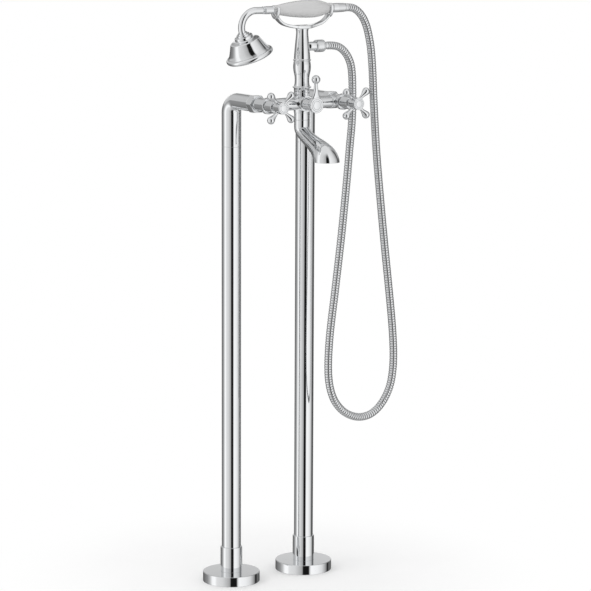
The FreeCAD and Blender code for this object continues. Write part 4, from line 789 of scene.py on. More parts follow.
def mixer_bar(size):
    """The bar with its end rings, the upright middle body and the diverter's boss."""
    half = size.leg_spacing / 2.0 - BOSS_FACE
    slim, wide, thick = size.bar_radius, size.bar_radius + 1.5, 11.2
    ring = 4.0
    bar = turned((
        (0.0, -half),
        (wide, -half, 0.7),
        (wide, ring - half, 0.7),
        (slim, ring - half, 0.4),
        (slim + 0.2, ring - half + 4.0),
        (thick, -size.middle_radius - 3.0, 0.5),
        (thick, size.middle_radius + 3.0, 0.5),
        (slim + 0.2, half - ring - 4.0),
        (slim, half - ring, 0.4),
        (wide, half - ring, 0.7),
        (wide, half, 0.7),
        (0.0, half),
    ), on_riser(size, 0.0), RIGHT, 112)
    middle = turned((
        (0.0, MIDDLE_FOOT),
        (size.middle_radius, MIDDLE_FOOT, 0.5),
        (size.middle_radius, MIDDLE_TOP, 0.6),
        (0.0, MIDDLE_TOP),
    ), on_riser(size, 0.0), UP, 112)
    boss = turned((
        (0.0, 0.0),
        (size.body_radius, 0.0),
        (size.body_radius, 8.0, 0.2),
        (0.0, 8.0),
    ), on_riser(size, 0.0), FORWARD, 112)
    return joined(bar, middle, boss)


def diverter_lever(size, start):
    """A round disc whose rim runs up into a slim neck under a ball.

    The neck's half width falls from the disc's chord to the rod as a smooth curve of height, and
    its half depth falls with it.
    """
    thick, seat = LEVER_THICKNESS, LEVER_SEAT_RADIUS
    disc = turned((
        (4.0, 0.0, 0.2),
        (size.lever_radius, 0.0, 1.6),
        (size.lever_radius, thick, 1.6),
        (seat, thick, 0.7),
        (seat, thick - LEVER_RECESS, 0.1),
        (3.6, thick - LEVER_RECESS, 0.1),
        (3.6, 3.6, 0.1),
        (4.0, 3.6, 0.1),
    ), (0.0, -start, size.axis_height), FORWARD, 112)
    stations = smooth_through((
        (5.0, 11.8, 3.2), (9.5, 9.8, 3.4), (14.4, 7.4, 3.3), (19.5, 5.3, 3.2),
        (26.0, 3.9, 3.0), (31.0, 3.3, 2.8), (35.0, 3.0, 2.6), (37.0, 3.1, 2.8),
    ), 6)
    ring = circle(1.0, 48)
    squarer = np.sign(ring) * np.abs(ring) ** 0.8
    sections = stations[:, None, 1:] * squarer[None]
    middle = start + thick / 2.0
    path = np.stack((
        np.zeros(len(stations)), np.full(len(stations), -middle), size.axis_height + stations[:, 0],
    ), -1)
    neck = carried(path, sections, RIGHT)
    turn = np.linspace(0.0, math.pi, 33)
    ball = lathe(
        np.stack((size.ball_radius * np.sin(turn), -size.ball_radius * np.cos(turn)), -1),
        (0.0, -middle, size.axis_height + size.lever_length), UP, 64,
    )
    return joined(disc, neck, ball)


# ---------------------------------------------------------------- spout


def tailpiece(size):
    """The short column under the bar, turned about the riser's axis."""
    return turned((
        (8.0, -TAILPIECE_LENGTH, 0.2),
        (size.tailpiece_radius, -TAILPIECE_LENGTH, 0.45),
        (size.tailpiece_radius, 0.0, 0.3),
        (8.0, 0.0, 0.2),
    ), on_riser(size, 0.0, MIDDLE_FOOT), UP, 112)


def spout(size):
    """One sweep from the stem, round the heel and along an arm that flares to a level mouth.

    The sweep is a row of rings whose radius, place and lean follow smooth curves. The surface
    turns over the lip and back up inside to the straightener.
    """
    top, mouth = MIDDLE_FOOT - TAILPIECE_LENGTH, -size.mouth_drop
    stem, front = size.tailpiece_radius, size.mouth_reach
    inner = size.mouth_radius - 1.4
    # Radius of a ring, its place in front of the bar and above its axis, and its lean in degrees.
    stations = smooth_through((
        (stem, 0.0, -34.0, 0.0),
        (stem, 0.0, -39.5, 2.0),
        (12.7, 1.2, -44.4, 22.0),
        (12.3, 5.3, -48.8, 47.0),
        (12.1, 13.5, -53.8, 62.0),
        (12.5, 25.0, -59.4, 66.0),
        (13.9, 39.5, -65.6, 65.0),
        (16.8, 56.6, -72.7, 53.0),
        (19.9, 68.6, -79.6, 29.0),
        (21.4, 74.2, -86.0, 9.0),
        (size.mouth_radius, front, mouth, 0.0),
    ), 10)
    edge = [(radius, 0.0, top - drop, 0.0) for radius, drop in (
        (0.0, 0.0), (stem - 0.6, 0.0), (stem - 0.45, 0.0), (stem - 0.15, 0.15), (stem, 0.45), (stem, 0.7),
    )]
    lip = [(radius, front, mouth + rise, 0.0) for radius, rise in (
        (inner + 1.1, 0.0), (inner + 0.3, 0.0), (inner, 0.3), (inner, 0.6), (inner, 3.2), (0.0, 3.2),
    )]
    rows = np.concatenate((edge, stations, lip))
    lean = np.radians(rows[:, 3])
    level = np.zeros(len(rows))
    middle = on_riser(size, 0.0) + np.stack((level, -rows[:, 1], rows[:, 2]), -1)
    lift = np.stack((level, -np.cos(lean), np.sin(lean)), -1)
    ring = circle(1.0, 112)
    steps = ring[None, :, :1] * RIGHT + ring[None, :, 1:] * lift[:, None]
    return woven(middle[:, None] + rows[:, 0, None, None] * steps)


def studded_disc(spot, way, radius, thick, rings, stud):
    """A disc with a shallow hollow stud at each hole place, on rings of (radius, count)."""
    shells = [turned((
        (0.0, 0.0), (radius, 0.0, 0.2), (radius, thick, 0.3), (0.0, thick),
    ), spot, way, 96)]
    nozzle = np.array((
        (0.0, thick - 0.6), (stud, thick - 0.6), (stud, thick + 0.25), (stud * 0.8, thick + 0.4),
        (stud * 0.5, thick + 0.4), (stud * 0.45, thick - 0.3), (0.0, thick - 0.3),
    ))
    for ring, count in rings:
        for step in ring_about(unit(way), count):
            shells.append(lathe(nozzle, np.asarray(spot, float) + ring * step, way, 12))
    return joined(*shells)


# ---------------------------------------------------------------- riser and cradle


def baluster(size):
    """The turned lower half: neck, bead, hollow waist and swelling top, the curves parabolas."""
    end = BALUSTER_LENGTH
    waist = arched((13.2, 9.6), (13.0, 29.6), -1.05, 22)
    swell = arched((13.0, 29.6), (13.6, end), 1.5, 24)
    return turned((
        (5.5, 0.0), (13.5, 0.0, 0.4), (13.5, 6.9), (14.7, 7.0),
        arched((15.05, 7.1), (15.05, 9.4), 0.75, 9),
        (14.7, 9.5), (13.3, 9.55),
        waist, swell[1:-1],
        (13.6, end, 0.3), (5.5, end),
    ), on_riser(size, 0.0, MIDDLE_TOP), UP, 128)


def column(size):
    """The tapering upper half on its bead, with the hose outlet's shoulder and thread.

    Its side is a smooth curve of height, and the thread is rings that step in and out.
    """
    post = turned((
        (0.0, 0.0), (14.2, 0.0),
        arched((14.35, 0.15), (14.35, 2.45), 0.75, 9),
        (14.0, 2.6), (13.75, 2.65),
        smooth_through((
            (13.7, 3.6), (13.05, 13.0), (11.9, 26.0), (10.75, 38.0),
            (10.1, 46.0), (10.3, 50.5), (11.1, 53.5),
        ), 6),
        (11.0, 53.8), (0.0, 53.8),
    ), on_riser(size, 0.0, MIDDLE_TOP + BALUSTER_LENGTH), UP, 128)
    turns = np.arange(60)
    thread = np.stack((7.0 - 0.35 * (turns % 2), 26.2 + turns * (9.6 / 59.0)), -1)
    stub = turned((
        (0.0, 0.0), (7.5, 0.0), (7.5, OUTLET_SHOULDER, 0.2), (7.0, OUTLET_SHOULDER + 0.05), thread,
        (4.5, 36.0), (0.0, 36.0),
    ), on_riser(size, 0.0, size.outlet_rise), RIGHT, 80)
    return joined(post, stub)


def cradle(size):
    """A strip that sags in one smooth curve from fork to fork and ends in a round fork each side.

    The curve goes smoothly through a few heights, and the strip is thickest and widest over the
    column.
    """
    # Place across, height above the mixer's axis, thickness and depth of the strip.
    half = (
        (9.5, 128.1, 5.4, 21.0),
        (16.5, 128.9, 5.1, 17.0),
        (26.0, 130.6, 4.6, 13.5),
        (36.0, 133.4, 4.2, 12.5),
        (42.0, 136.6, 4.0, 12.5),
        (47.4, 141.2, 3.8, 13.0),
        (51.4, 145.6, 3.6, 14.0),
    )
    left = tuple((-across, high, thick, deep) for across, high, thick, deep in half[::-1])
    stations = smooth_through(left + ((0.0, 128.1, 5.4, 22.0),) + half, 8)
    path = np.stack((
        stations[:, 0], np.full(len(stations), -size.bar_reach), size.axis_height + stations[:, 1],
    ), -1)
    strip = carried(path, [slab(deep, thick, 1.3) for thick, deep in stations[:, 2:]], FORWARD)
    axis = size.axis_height + size.handset_rise
    front = fork(size, -FORK_PLACE, axis, FRONT_NECK + NECK_PLAY)
    rear = fork(size, FORK_PLACE, axis, REAR_NECK + NECK_PLAY)
    return joined(strip, front, rear)


def fork(size, x, axis, notch):
    """A U shaped plate round a grip's neck: a flat slab carried round the U's middle line.

    The U's arms rise straight beside the neck and meet in a half circle below it.
    """
    outer, foot, wide = 11.6, 14.2, 5.0
    wall = outer - notch
    radius = notch + wall / 2.0
    turn = np.linspace(0.0, math.pi, 40)
    deep = foot - wall / 2.0
    low = np.stack((-radius * np.cos(turn), -deep * np.sin(turn)), -1)
    left = np.stack((np.full(5, -radius), np.linspace(5.6, 0.4, 5)), -1)
    line = np.concatenate((left, low, left[::-1] * (-1.0, 1.0)))
    thick = wall + (foot - notch - wall) * np.clip(-line[:, 1] / deep, 0.0, 1.0) ** 1.5
    sections = slab(1.0, 1.0, 0.28)[None] * np.stack((np.full(len(line), wide), thick), -1)[:, None]
    tips = np.minimum(np.arange(len(line)), np.arange(len(line))[::-1])
    sections = sections * np.interp(tips, (0, 1, 2), (0.82, 0.96, 1.0))[:, None, None]
    path = np.stack((np.full(len(line), x), -size.bar_reach + line[:, 0], axis + line[:, 1]), -1)
    return carried(path, sections, RIGHT)


# ---------------------------------------------------------------- hand shower


def grip(size):
    """The glazed grip: two straight necks and a belly between them.

    The radius falls from the belly to each neck with the square of the distance from the belly.
    """
    half, fat = size.grip_half, size.grip_belly_radius
    belly, straight = 17.0, 6.2
    along = np.linspace(0.0, 1.0, 40)
    front = np.stack((
        fat - (fat - FRONT_NECK) * (1.0 - along) ** 2, belly - (half - straight + belly) * (1.0 - along),
    ), -1)
    rear = np.stack((fat - (fat - REAR_NECK) * along**2, belly + (half - straight - belly) * along), -1)
    return turned((
        (5.1, -half, 0.2), (FRONT_NECK, -half, 0.5), front,
        rear[1:], (REAR_NECK, half, 0.5), (5.1, half, 0.2),
    ), on_riser(size, 0.0, size.handset_rise), RIGHT, 128)


def front_ferrule(size):
    """A sleeve with a bead against the grip and an undercut neck at its other end."""
    return turned((
        (5.0, 0.0, 0.1), (7.4, 0.0, 0.7), (7.4, 2.2, 0.7), (6.6, 3.2, 0.3), (6.6, 17.6, 0.3),
        (4.9, 17.9, 0.1), (4.9, 18.4, 0.2), (6.5, 21.2, 0.2), (4.0, 21.2, 0.1),
    ), on_riser(size, -size.grip_half, size.handset_rise), -RIGHT, 96)


def rear_ferrule(size):
    """A tapering sleeve with a bead against the grip."""
    return turned((
        (5.0, 0.0, 0.1), (8.2, 0.0, 0.7), (8.2, 2.4, 0.7), (7.6, 3.2, 0.3), (7.9, 12.0, 0.8),
        (7.4, 26.0, 0.6), (7.1, 28.2, 0.6), (4.0, 28.2, 0.1),
    ), on_riser(size, size.grip_half, size.handset_rise), RIGHT, 96)


def head_line(size):
    """Where the head's axis starts and which way it runs down from there."""
    tilt = math.radians(HEAD_TILT)
    start = size.grip_half + GOOSENECK_START + GOOSENECK_LEVEL
    spot = np.array((
        -(start + size.gooseneck_bend * math.cos(tilt)), -size.bar_reach,
        size.axis_height + size.handset_rise - size.gooseneck_bend * (1.0 + math.sin(tilt)),
    ))
    return spot, np.array((math.sin(tilt), 0.0, -math.cos(tilt)))


def gooseneck(size):
    """A level tube, then a bend of a quarter turn and the head's tilt more."""
    axis = size.axis_height + size.handset_rise
    start = size.grip_half + GOOSENECK_START
    level = np.stack((-np.linspace(start, start + GOOSENECK_LEVEL - 0.3, 6), np.full(6, axis)), -1)
    turn = np.linspace(0.0, math.radians(90.0 + HEAD_TILT), 44)
    arc = np.stack((
        -(start + GOOSENECK_LEVEL) - size.gooseneck_bend * np.sin(turn),
        axis - size.gooseneck_bend * (1.0 - np.cos(turn)),
    ), -1)
    line = np.concatenate((level, arc))
    path = np.stack((line[:, 0], np.full(len(line), -size.bar_reach), line[:, 1]), -1)
    return carried(path, circle(size.gooseneck_radius, 72), FORWARD)


def head_nut(size):
    """The stepped nut between the gooseneck and the bell, turned about the head's axis."""
    spot, way = head_line(size)
    return turned((
        (4.0, -1.6, 0.1), (8.4, -1.6, 0.8), (8.4, 0.8, 0.4), (11.2, 1.0, 0.8), (11.2, 3.4, 0.5),
        (15.4, 4.2, 1.0), (15.4, BELL_TOP, 0.8), (4.0, BELL_TOP, 0.1),
    ), spot, way, 112)


def head_bell(size):
    """A bell: a hollow shoulder under the nut, nearly straight sides and a flared skirt."""
    spot, way = head_line(size)
    skirt = smooth_through((
        (15.4, 0.0), (16.8, 1.3), (19.8, 2.2), (23.0, 2.8), (24.7, 3.6), (25.6, 5.2), (27.0, 8.6),
        (29.0, 13.2), (31.2, 18.2), (33.3, 22.2), (36.0, 26.0),
    ), 8)
    inside = skirt[::-1][:-20] - (2.0, -0.6)
    return turned((
        (4.0, 0.0), skirt, (34.1, 26.0), inside[1:], (4.0, inside[-1, 1]),
    ), spot + way * BELL_TOP, way, 144)


def head_rim(size):
    """The rolled ring round the spray face: a half circle turned about the head's axis."""
    spot, way = head_line(size)
    turn = np.linspace(-math.pi / 2.0, math.pi / 2.0, 22)
    roll = np.stack((size.rim_radius - 4.02 + 4.0 * np.cos(turn), 4.0 + 4.0 * np.sin(turn)), -1)
    return turned((
        (34.0, 0.0), roll, (31.0, 8.0, 0.6), (31.0, 6.8, 0.2), (34.0, 6.8),
    ), spot + way * RIM_TOP, way, 144)


def spray_plate(size):
    """The spray face with its nozzles, inside the rim."""
    spot, way = head_line(size)
    rings = ((9.0, 6), (18.0, 12), (27.0, 18))
    return studded_disc(spot + way * SPRAY_PLATE_TOP, way, 33.9, thick=3.0, rings=rings, stud=1.5)


# ---------------------------------------------------------------- hose and its fittings


def outlet_nut(size):
    """The round nut on the riser's outlet, with a turned groove near its end."""
    return turned((
        (7.1, 0.0, 0.2), (9.2, 0.0, 0.4), (10.4, 1.2, 0.5), (10.4, 12.4, 0.4), (9.9, 12.9, 0.2),
        (9.9, 13.6, 0.2), (10.4, 14.1, 0.4), (10.3, 15.4, 0.6), (8.0, 18.0, 0.8), (6.3, 18.0, 0.2),
        (6.3, 14.4, 0.1), (7.1, 14.4, 0.1),
    ), on_riser(size, OUTLET_SHOULDER, size.outlet_rise), RIGHT, 112)


def outlet_ferrule(size):
    """The sleeve that holds the hose's end in the outlet nut."""
    return turned((
        (4.0, 0.0, 0.1), (6.8, 0.0, 0.2), (6.8, 2.3, 0.2), (6.2, 2.4, 0.1), (6.2, 12.0, 0.5),
        (4.0, 12.0, 0.1),
    ), on_riser(size, OUTLET_FERRULE, size.outlet_rise), RIGHT, 96)


def handset_ferrule(size):
    """The short collar between the rear ferrule and the hose."""
    return turned((
        (4.0, 0.0, 0.1), (7.0, 0.0, 0.2), (7.0, 3.0, 0.6), (4.0, 3.0, 0.1),
    ), on_riser(size, HANDSET_FERRULE, size.handset_rise), RIGHT, 96)


def hose_line():
    """Points of a smooth spline that has the hose's route as its control points."""
    curve = bpy.data.curves.new("hose_route", "CURVE")
    curve.dimensions = "3D"
    curve.resolution_u = 40
    spline = curve.splines.new("NURBS")
    spline.points.add(len(HOSE_ROUTE) - 1)
    depth = -bpy.context.scene.filler_sizes.bar_reach
    route = np.array([(x, depth, z, 1.0) for x, z in HOSE_ROUTE])
    spline.points.foreach_set("co", route.ravel())
    spline.order_u = 3
    spline.use_endpoint_u = True
    holder = bpy.data.objects.new("hose_route", curve)
    bpy.context.scene.collection.objects.link(holder)
    bpy.context.view_layer.update()
    line = bpy.data.meshes.new_from_object(holder)
    spots = np.empty(len(line.vertices) * 3)
    line.vertices.foreach_get("co", spots)
    bpy.data.objects.remove(holder)
    bpy.data.curves.remove(curve)
    bpy.data.meshes.remove(line)
    spots = spots.reshape(-1, 3)
    step = np.linalg.norm(np.diff(spots, axis=0), axis=1)
    keep = np.concatenate(([True], step > 1e-6))
    return spots[keep]


def evenly(line, count):
    """Places at equal distances along a line of points."""
    gone = np.concatenate(([0.0], np.cumsum(np.linalg.norm(np.diff(line, axis=0), axis=1))))
    along = np.linspace(0.0, gone[-1], count)
    return np.stack([np.interp(along, gone, line[:, axis]) for axis in range(3)], -1), gone[-1]


def shower_hose(size, line):
    """A round sleeve of ribs along the hose's line, and how far each point lies in a groove.

    The radius is the hose's less a narrow groove: with u the distance from a rib's middle, one at the
    groove, the depth grows as the eighth power of u.
    The painted shade in a groove grows as the sixth power of u, and is full at the closed ends.
    """
    places, around = 8, 20
    _, total = evenly(line, 2)
    ribs = int(round(total * 1000.0 / size.rib_pitch))
    path, _ = evenly(line, ribs * places + 1)
    off = np.abs((np.arange(len(path)) % places) / places - 0.5) * 2.0
    radius = size.hose_radius - size.rib_height * off**8
    shell = carried(path * 1000.0, circle(radius, around), FORWARD)
    # The second array is the painted shade that the groove attribute carries.
    return shell, np.concatenate(([1.0], np.repeat(off**6, around), [1.0]))


# ---------------------------------------------------------------- operators


def placed(across, upward, back, spot):
    """The matrix of a thing with these axes at a spot."""
    turn = np.eye(4)
    turn[:3] = np.stack((across, upward, back, spot), -1)
    return Matrix(turn.tolist())


class FILLER_OT_camera(bpy.types.Operator):
    """Place the camera at the front left, a little above the mixer's middle"""

    bl_idname = "filler.camera"
    bl_label = "Camera"

    def execute(self, context):
        yaw, pitch, roll = (math.radians(angle) for angle in (CAMERA_YAW, CAMERA_PITCH, CAMERA_ROLL))
        near = math.cos(pitch)
        back = np.array((math.sin(yaw) * near, -math.cos(yaw) * near, math.sin(pitch)))
        level = unit(np.cross(-back, UP))
        steep = np.cross(level, -back)
        across = level * math.cos(roll) + steep * math.sin(roll)
        upward = steep * math.cos(roll) - level * math.sin(roll)
        data = bpy.data.cameras.new("camera")
        data.sensor_width = SENSOR_WIDTH
        data.lens = SENSOR_WIDTH * FOCAL_PIXELS / PICTURE_PIXELS
        data.clip_start, data.clip_end = 0.1, 60.0
        camera = bpy.data.objects.new("camera", data)
        camera.matrix_world = placed(across, upward, back, CAMERA_TARGET + back * CAMERA_DISTANCE)
        context.scene.collection.objects.link(camera)
        context.scene.camera = camera
        return {"FINISHED"}


class FILLER_OT_feet(bpy.types.Operator):
    """Build the floor flanges and the collars"""

    bl_idname = "filler.feet"
    bl_label = "Flanges and Collars"

    def execute(self, context):
        size = measures()
        for side, way in SIDES:
            x = way * size.leg_spacing / 2.0
            add_piece(side + "_flange_cover", flange_cover(size, x))
            add_piece(side + "_collar", collar(size, x))
        return {"FINISHED"}


class FILLER_OT_standpipes(bpy.types.Operator):
    """Build the standpipes and their elbows"""

    bl_idname = "filler.standpipes"
    bl_label = "Standpipes and Elbows"

    def execute(self, context):
        size = measures()
        for side, way in SIDES:
            x = way * size.leg_spacing / 2.0
            add_piece(side + "_standpipe", standpipe(size, x))
            add_piece(side + "_elbow", elbow(size, x))
        return {"FINISHED"}


class FILLER_OT_valves(bpy.types.Operator):
    """Build the union nuts, valve bodies and bonnets"""

    bl_idname = "filler.valves"
    bl_label = "Valves"

    def execute(self, context):
        size = measures()
        for side, way in SIDES:
            x = way * size.leg_spacing / 2.0
            spot = (x, -(size.elbow_reach + NUT_GAP), size.axis_height)
            nut = hexagon(size.nut_flats, size.nut_length, chamfer=1.6, hole=12.2, spot=spot, way=FORWARD)
            add_piece(side + "_union_nut", nut)
            add_piece(side + "_valve_body", valve_body(size, x, -way))
            add_piece(side + "_valve_bonnet", bonnet(size, x, sleeve=21.0, tip_radius=10.9, nose=6.0))
        return {"FINISHED"}


class FILLER_OT_cross_handles(bpy.types.Operator):
    """Build the two cross handles with their arms and caps"""

    bl_idname = "filler.cross_handles"
    bl_label = "Cross Handles"

    def execute(self, context):
        size = measures()
        for side, way in SIDES:
            x = way * size.leg_spacing / 2.0
            add_piece(side + "_handle", handle_hub(size, x, HUB_BACK))
            add_piece(side + "_handle_arms", handle_arms(size, x, HUB_BACK + ARM_PLANE))
            seat = HUB_BACK + size.hub_length - HUB_RECESS
            cap = crowned_cap(size, x, seat, size.cap_radius - CAP_PLAY, HUB_RECESS)
            add_piece(side + "_handle_cap", cap)
        return {"FINISHED"}


class FILLER_OT_mixer(bpy.types.Operator):
    """Build the mixer bar and the diverter's bonnet"""

    bl_idname = "filler.mixer"
    bl_label = "Mixer Bar"

    def execute(self, context):
        size = measures()
        add_piece("mixer_bar", mixer_bar(size))
        add_piece("diverter_bonnet", bonnet(size, 0.0, sleeve=16.0, tip_radius=9.6, nose=5.5))
        return {"FINISHED"}


class FILLER_OT_lever(bpy.types.Operator):
    """Build the diverter lever and its cap"""

    bl_idname = "filler.lever"
    bl_label = "Diverter Lever"

    def execute(self, context):
        size = measures()
        add_piece("diverter_lever", diverter_lever(size, LEVER_BACK))
        seat = LEVER_BACK + LEVER_THICKNESS - LEVER_RECESS
        add_piece("lever_cap", crowned_cap(size, 0.0, seat, LEVER_SEAT_RADIUS - CAP_PLAY, LEVER_RECESS))
        return {"FINISHED"}


class FILLER_OT_spout(bpy.types.Operator):
    """Build the tailpiece, the spout and its flow straightener"""

    bl_idname = "filler.spout"
    bl_label = "Spout"

    def execute(self, context):
        size = measures()
        add_piece("spout_tailpiece", tailpiece(size))
        add_piece("spout", spout(size))
        seat = size.axis_height - size.mouth_drop + STRAIGHTENER_SEAT
        spot = (0.0, -(size.bar_reach + size.mouth_reach), seat)
        rings = ((6.0, 6), (12.0, 12), (17.0, 18))
        disc = studded_disc(spot, -UP, size.mouth_radius - 1.5, thick=1.6, rings=rings, stud=1.3)
        add_piece("flow_straightener", disc, "spray_plastic")
        return {"FINISHED"}


class FILLER_OT_riser(bpy.types.Operator):
    """Build the riser's baluster and column, and the hose outlet's fittings"""

    bl_idname = "filler.riser"
    bl_label = "Riser"

    def execute(self, context):
        size = measures()
        add_piece("riser_baluster", baluster(size))
        add_piece("riser_column", column(size))
        add_piece("hose_outlet_nut", outlet_nut(size))
        add_piece("hose_ferrule_outlet", outlet_ferrule(size))
        return {"FINISHED"}


class FILLER_OT_cradle(bpy.types.Operator):
    """Build the hand shower's cradle"""

    bl_idname = "filler.cradle"
    bl_label = "Cradle"

    def execute(self, context):
        add_piece("cradle", cradle(measures()))
        return {"FINISHED"}


class FILLER_OT_hand_shower(bpy.types.Operator):
    """Build the hand shower from its hose ferrule to its spray plate"""

    bl_idname = "filler.hand_shower"
    bl_label = "Hand Shower"

    def execute(self, context):
        size = measures()
        add_piece("grip", grip(size), "porcelain")
        add_piece("front_ferrule", front_ferrule(size))
        add_piece("rear_ferrule", rear_ferrule(size))
        add_piece("gooseneck", gooseneck(size))
        add_piece("head_nut", head_nut(size))
        add_piece("head_bell", head_bell(size))
        add_piece("head_rim", head_rim(size))
        add_piece("spray_plate", spray_plate(size), "spray_plastic")
        add_piece("hose_ferrule_handset", handset_ferrule(size))
        return {"FINISHED"}


class FILLER_OT_hose(bpy.types.Operator):
    """Build the ribbed hose from the riser's outlet to the hand shower"""

    bl_idname = "filler.hose"
    bl_label = "Hose"

    def execute(self, context):
        size = measures()
        line = hose_line()
        shell, groove_shade = shower_hose(size, line)
        hose = add_piece("shower_hose", shell, "hose_metal", body=False)
        # The groove attribute carries the painted shade that darkens the hose between its ribs.
        marks = hose.data.attributes.new("groove", "FLOAT", "POINT")
        marks.data.foreach_set("value", groove_shade)
        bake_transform(hose)
        return {"FINISHED"}


class FILLER_OT_inner_parts(bpy.types.Operator):
    """Give the pieces that stay as the frame has them their finishes"""

    bl_idname = "filler.inner_parts"
    bl_label = "Inner Parts"

    def execute(self, context):
        slots = {part["node"]: part["material_slot"] for part in frame["record"]["subparts"]}
        for name, node in frame["nodes"].items():
            if not node.material_slots:
                node.data.materials.append(None)
            for slot in node.material_slots:
                slot.material = FINISHES[slots[name]]
        return {"FINISHED"}


# ---------------------------------------------------------------- stage


FLOOR_RINGS = (0.0, 0.25, 0.5, 1.0, 2.0, 4.0, 8.0, 16.0, 40.0)  # metres, as are the next two
FADE_START = 0.16
FADE_END = 0.5


def blended(tree, portion, first, second):
    """A shader that goes over from the first to the second."""
    mix = added(tree, "ShaderNodeMixShader", {"Fac": portion, 1: first, 2: second})
    return mix.outputs["Shader"]


def lay_floor(looks):
    """A large round floor that fades into the white background away from the object."""
    around = 128
    flat = circle(FLOOR_RINGS, around)
    grid = np.concatenate((flat, np.zeros((len(FLOOR_RINGS), around, 1))), -1)
    index = np.arange(len(FLOOR_RINGS) * around).reshape(-1, around)
    quads = np.stack((index[:-1], np.roll(index[:-1], -1, 1), np.roll(index[1:], -1, 1), index[1:]), -1)
    mesh = bpy.data.meshes.new("floor")
    mesh.from_pydata(grid.reshape(-1, 3).tolist(), [], quads.reshape(-1, 4)[:, ::-1].tolist())
    mesh.validate()
    mesh.materials.append(pale_floor(looks))
    floor = bpy.data.objects.new("floor", mesh)
    bpy.context.scene.collection.objects.link(floor)


def pale_floor(looks):
    """Matt and pale; plain white to the camera further out, and not there for mirrored rays."""
    material, tree, shader = new_finish("pale_floor", looks.floor, 0.75)
    tinted(tree, shader, cloudy(tree, 6.0, 3.0), *shades(looks.floor, 0.01))
    glow = added(tree, "ShaderNodeEmission", {"Color": WHITE})
    clear = added(tree, "ShaderNodeBsdfTransparent")
    rays = added(tree, "ShaderNodeLightPath")
    further_out = away(tree, FADE_START, FADE_END, rays.outputs["Is Camera Ray"])
    surface = blended(tree, further_out, shader.outputs["BSDF"], glow.outputs["Emission"])
    surface = blended(tree, rays.outputs["Is Glossy Ray"], surface, clear.outputs["BSDF"])
    tree.links.new(surface, tree.nodes["Material Output"].inputs["Surface"])
    return material


def away(tree, near, far, rays):
    """A share of the given rays that grows with the distance from the floor's middle."""
    place = added(tree, "ShaderNodeTexCoord")
    distance = added(tree, "ShaderNodeVectorMath", {0: place.outputs["Object"]}, operation="LENGTH")
    fade = added(tree, "ShaderNodeMapRange", {
        "Value": distance.outputs["Value"], "From Min": near, "From Max": far,
    }, interpolation_type="SMOOTHSTEP")
    both = added(tree, "ShaderNodeMath", {0: fade.outputs["Result"], 1: rays}, operation="MULTIPLY")
    return both.outputs["Value"]


# The studio's upright panels and gaps: bearing in degrees from the photographer, counted to the
# object's right, and how bright the room is there at floor level, above the camera and higher up.
PANELS = (
    (-180.0, 0.12, 0.92, 0.12),
    (-158.0, 0.12, 0.90, 0.48),
    (-146.0, 0.16, 0.74, 0.60),
    (-132.0, 0.22, 0.64, 0.62),
    (-112.0, 0.32, 0.60, 0.58),
    (-95.0, 0.62, 0.66, 0.66),
    (-82.0, 1.15, 1.10, 1.10),
    (-68.0, 1.18, 1.15, 1.15),
    (-60.0, 0.90, 0.85, 0.85),
    (-34.0, 0.80, 0.75, 0.75),
    (-10.0, 0.52, 0.52, 0.52),
    (-4.0, 0.42, 0.42, 0.42),
    (-1.0, 0.01, 0.01, 0.01),
    (23.0, 0.01, 0.01, 0.01),
    (28.0, 0.85, 0.85, 0.85),
    (34.0, 1.15, 1.05, 1.05),
    (62.0, 1.05, 0.90, 0.90),
    (84.0, 0.85, 0.75, 0.75),
    (100.0, 0.50, 0.50, 0.50),
    (112.0, 0.24, 0.30, 0.30),
    (115.0, 0.03, 0.10, 0.10),
    (126.0, 0.03, 0.10, 0.10),
    (131.0, 0.16, 0.30, 0.30),
    (146.0, 0.14, 0.55, 0.42),
    (160.0, 0.12, 0.90, 0.40),
    (180.0, 0.12, 0.92, 0.12),
)
BRIGHTEST = 1.2
CEILING = 0.85
UNDERSIDE = 0.5

# Where the room goes over from one level to the next: the upward part of a mirrored direction, and
# for the last its downward part.
FLOOR_TO_HIGH = (0.03, 0.155)
HIGH_TO_UPPER = (0.22, 0.32)
UPPER_TO_CEILING = (0.62, 0.95)
FALL_TO_UNDERSIDE = (0.50, 0.95)

LAMP_SPOT = (-2.6, 0.1, 2.2)
LAMP_AIM = (0.0, -0.06, 0.7)
LAMP_SIZE = 1.1
LAMP_WATTS = 12.0


def grey(level):
    """An even colour for a level of the room's light."""
    return (level / BRIGHTEST,) * 3 + (1.0,)


def panel_ramp(tree, bearing, column):
    """The room's light round one level, from a column of the panels' table."""
    ramp = added(tree, "ShaderNodeValToRGB", {"Fac": bearing})
    stops = ramp.color_ramp.elements
    while len(stops) < len(PANELS):
        stops.new(0.5)
    for stop, panel in zip(stops, PANELS):
        stop.position = panel[0] / 360.0 + 0.5
        stop.color = grey(panel[column])
    return ramp.outputs["Color"]


def faded(tree, before, after, height, low, high):
    """Go over from one light to another between two heights of the direction."""
    fade = added(tree, "ShaderNodeMapRange", {
        "Value": height, "From Min": low, "From Max": high,
    }, interpolation_type="SMOOTHSTEP")
    mix = added(tree, "ShaderNodeMix", {
        "Factor": fade.outputs["Result"], "A": before, "B": after,
    }, data_type="RGBA")
    return mix.outputs["Result"]


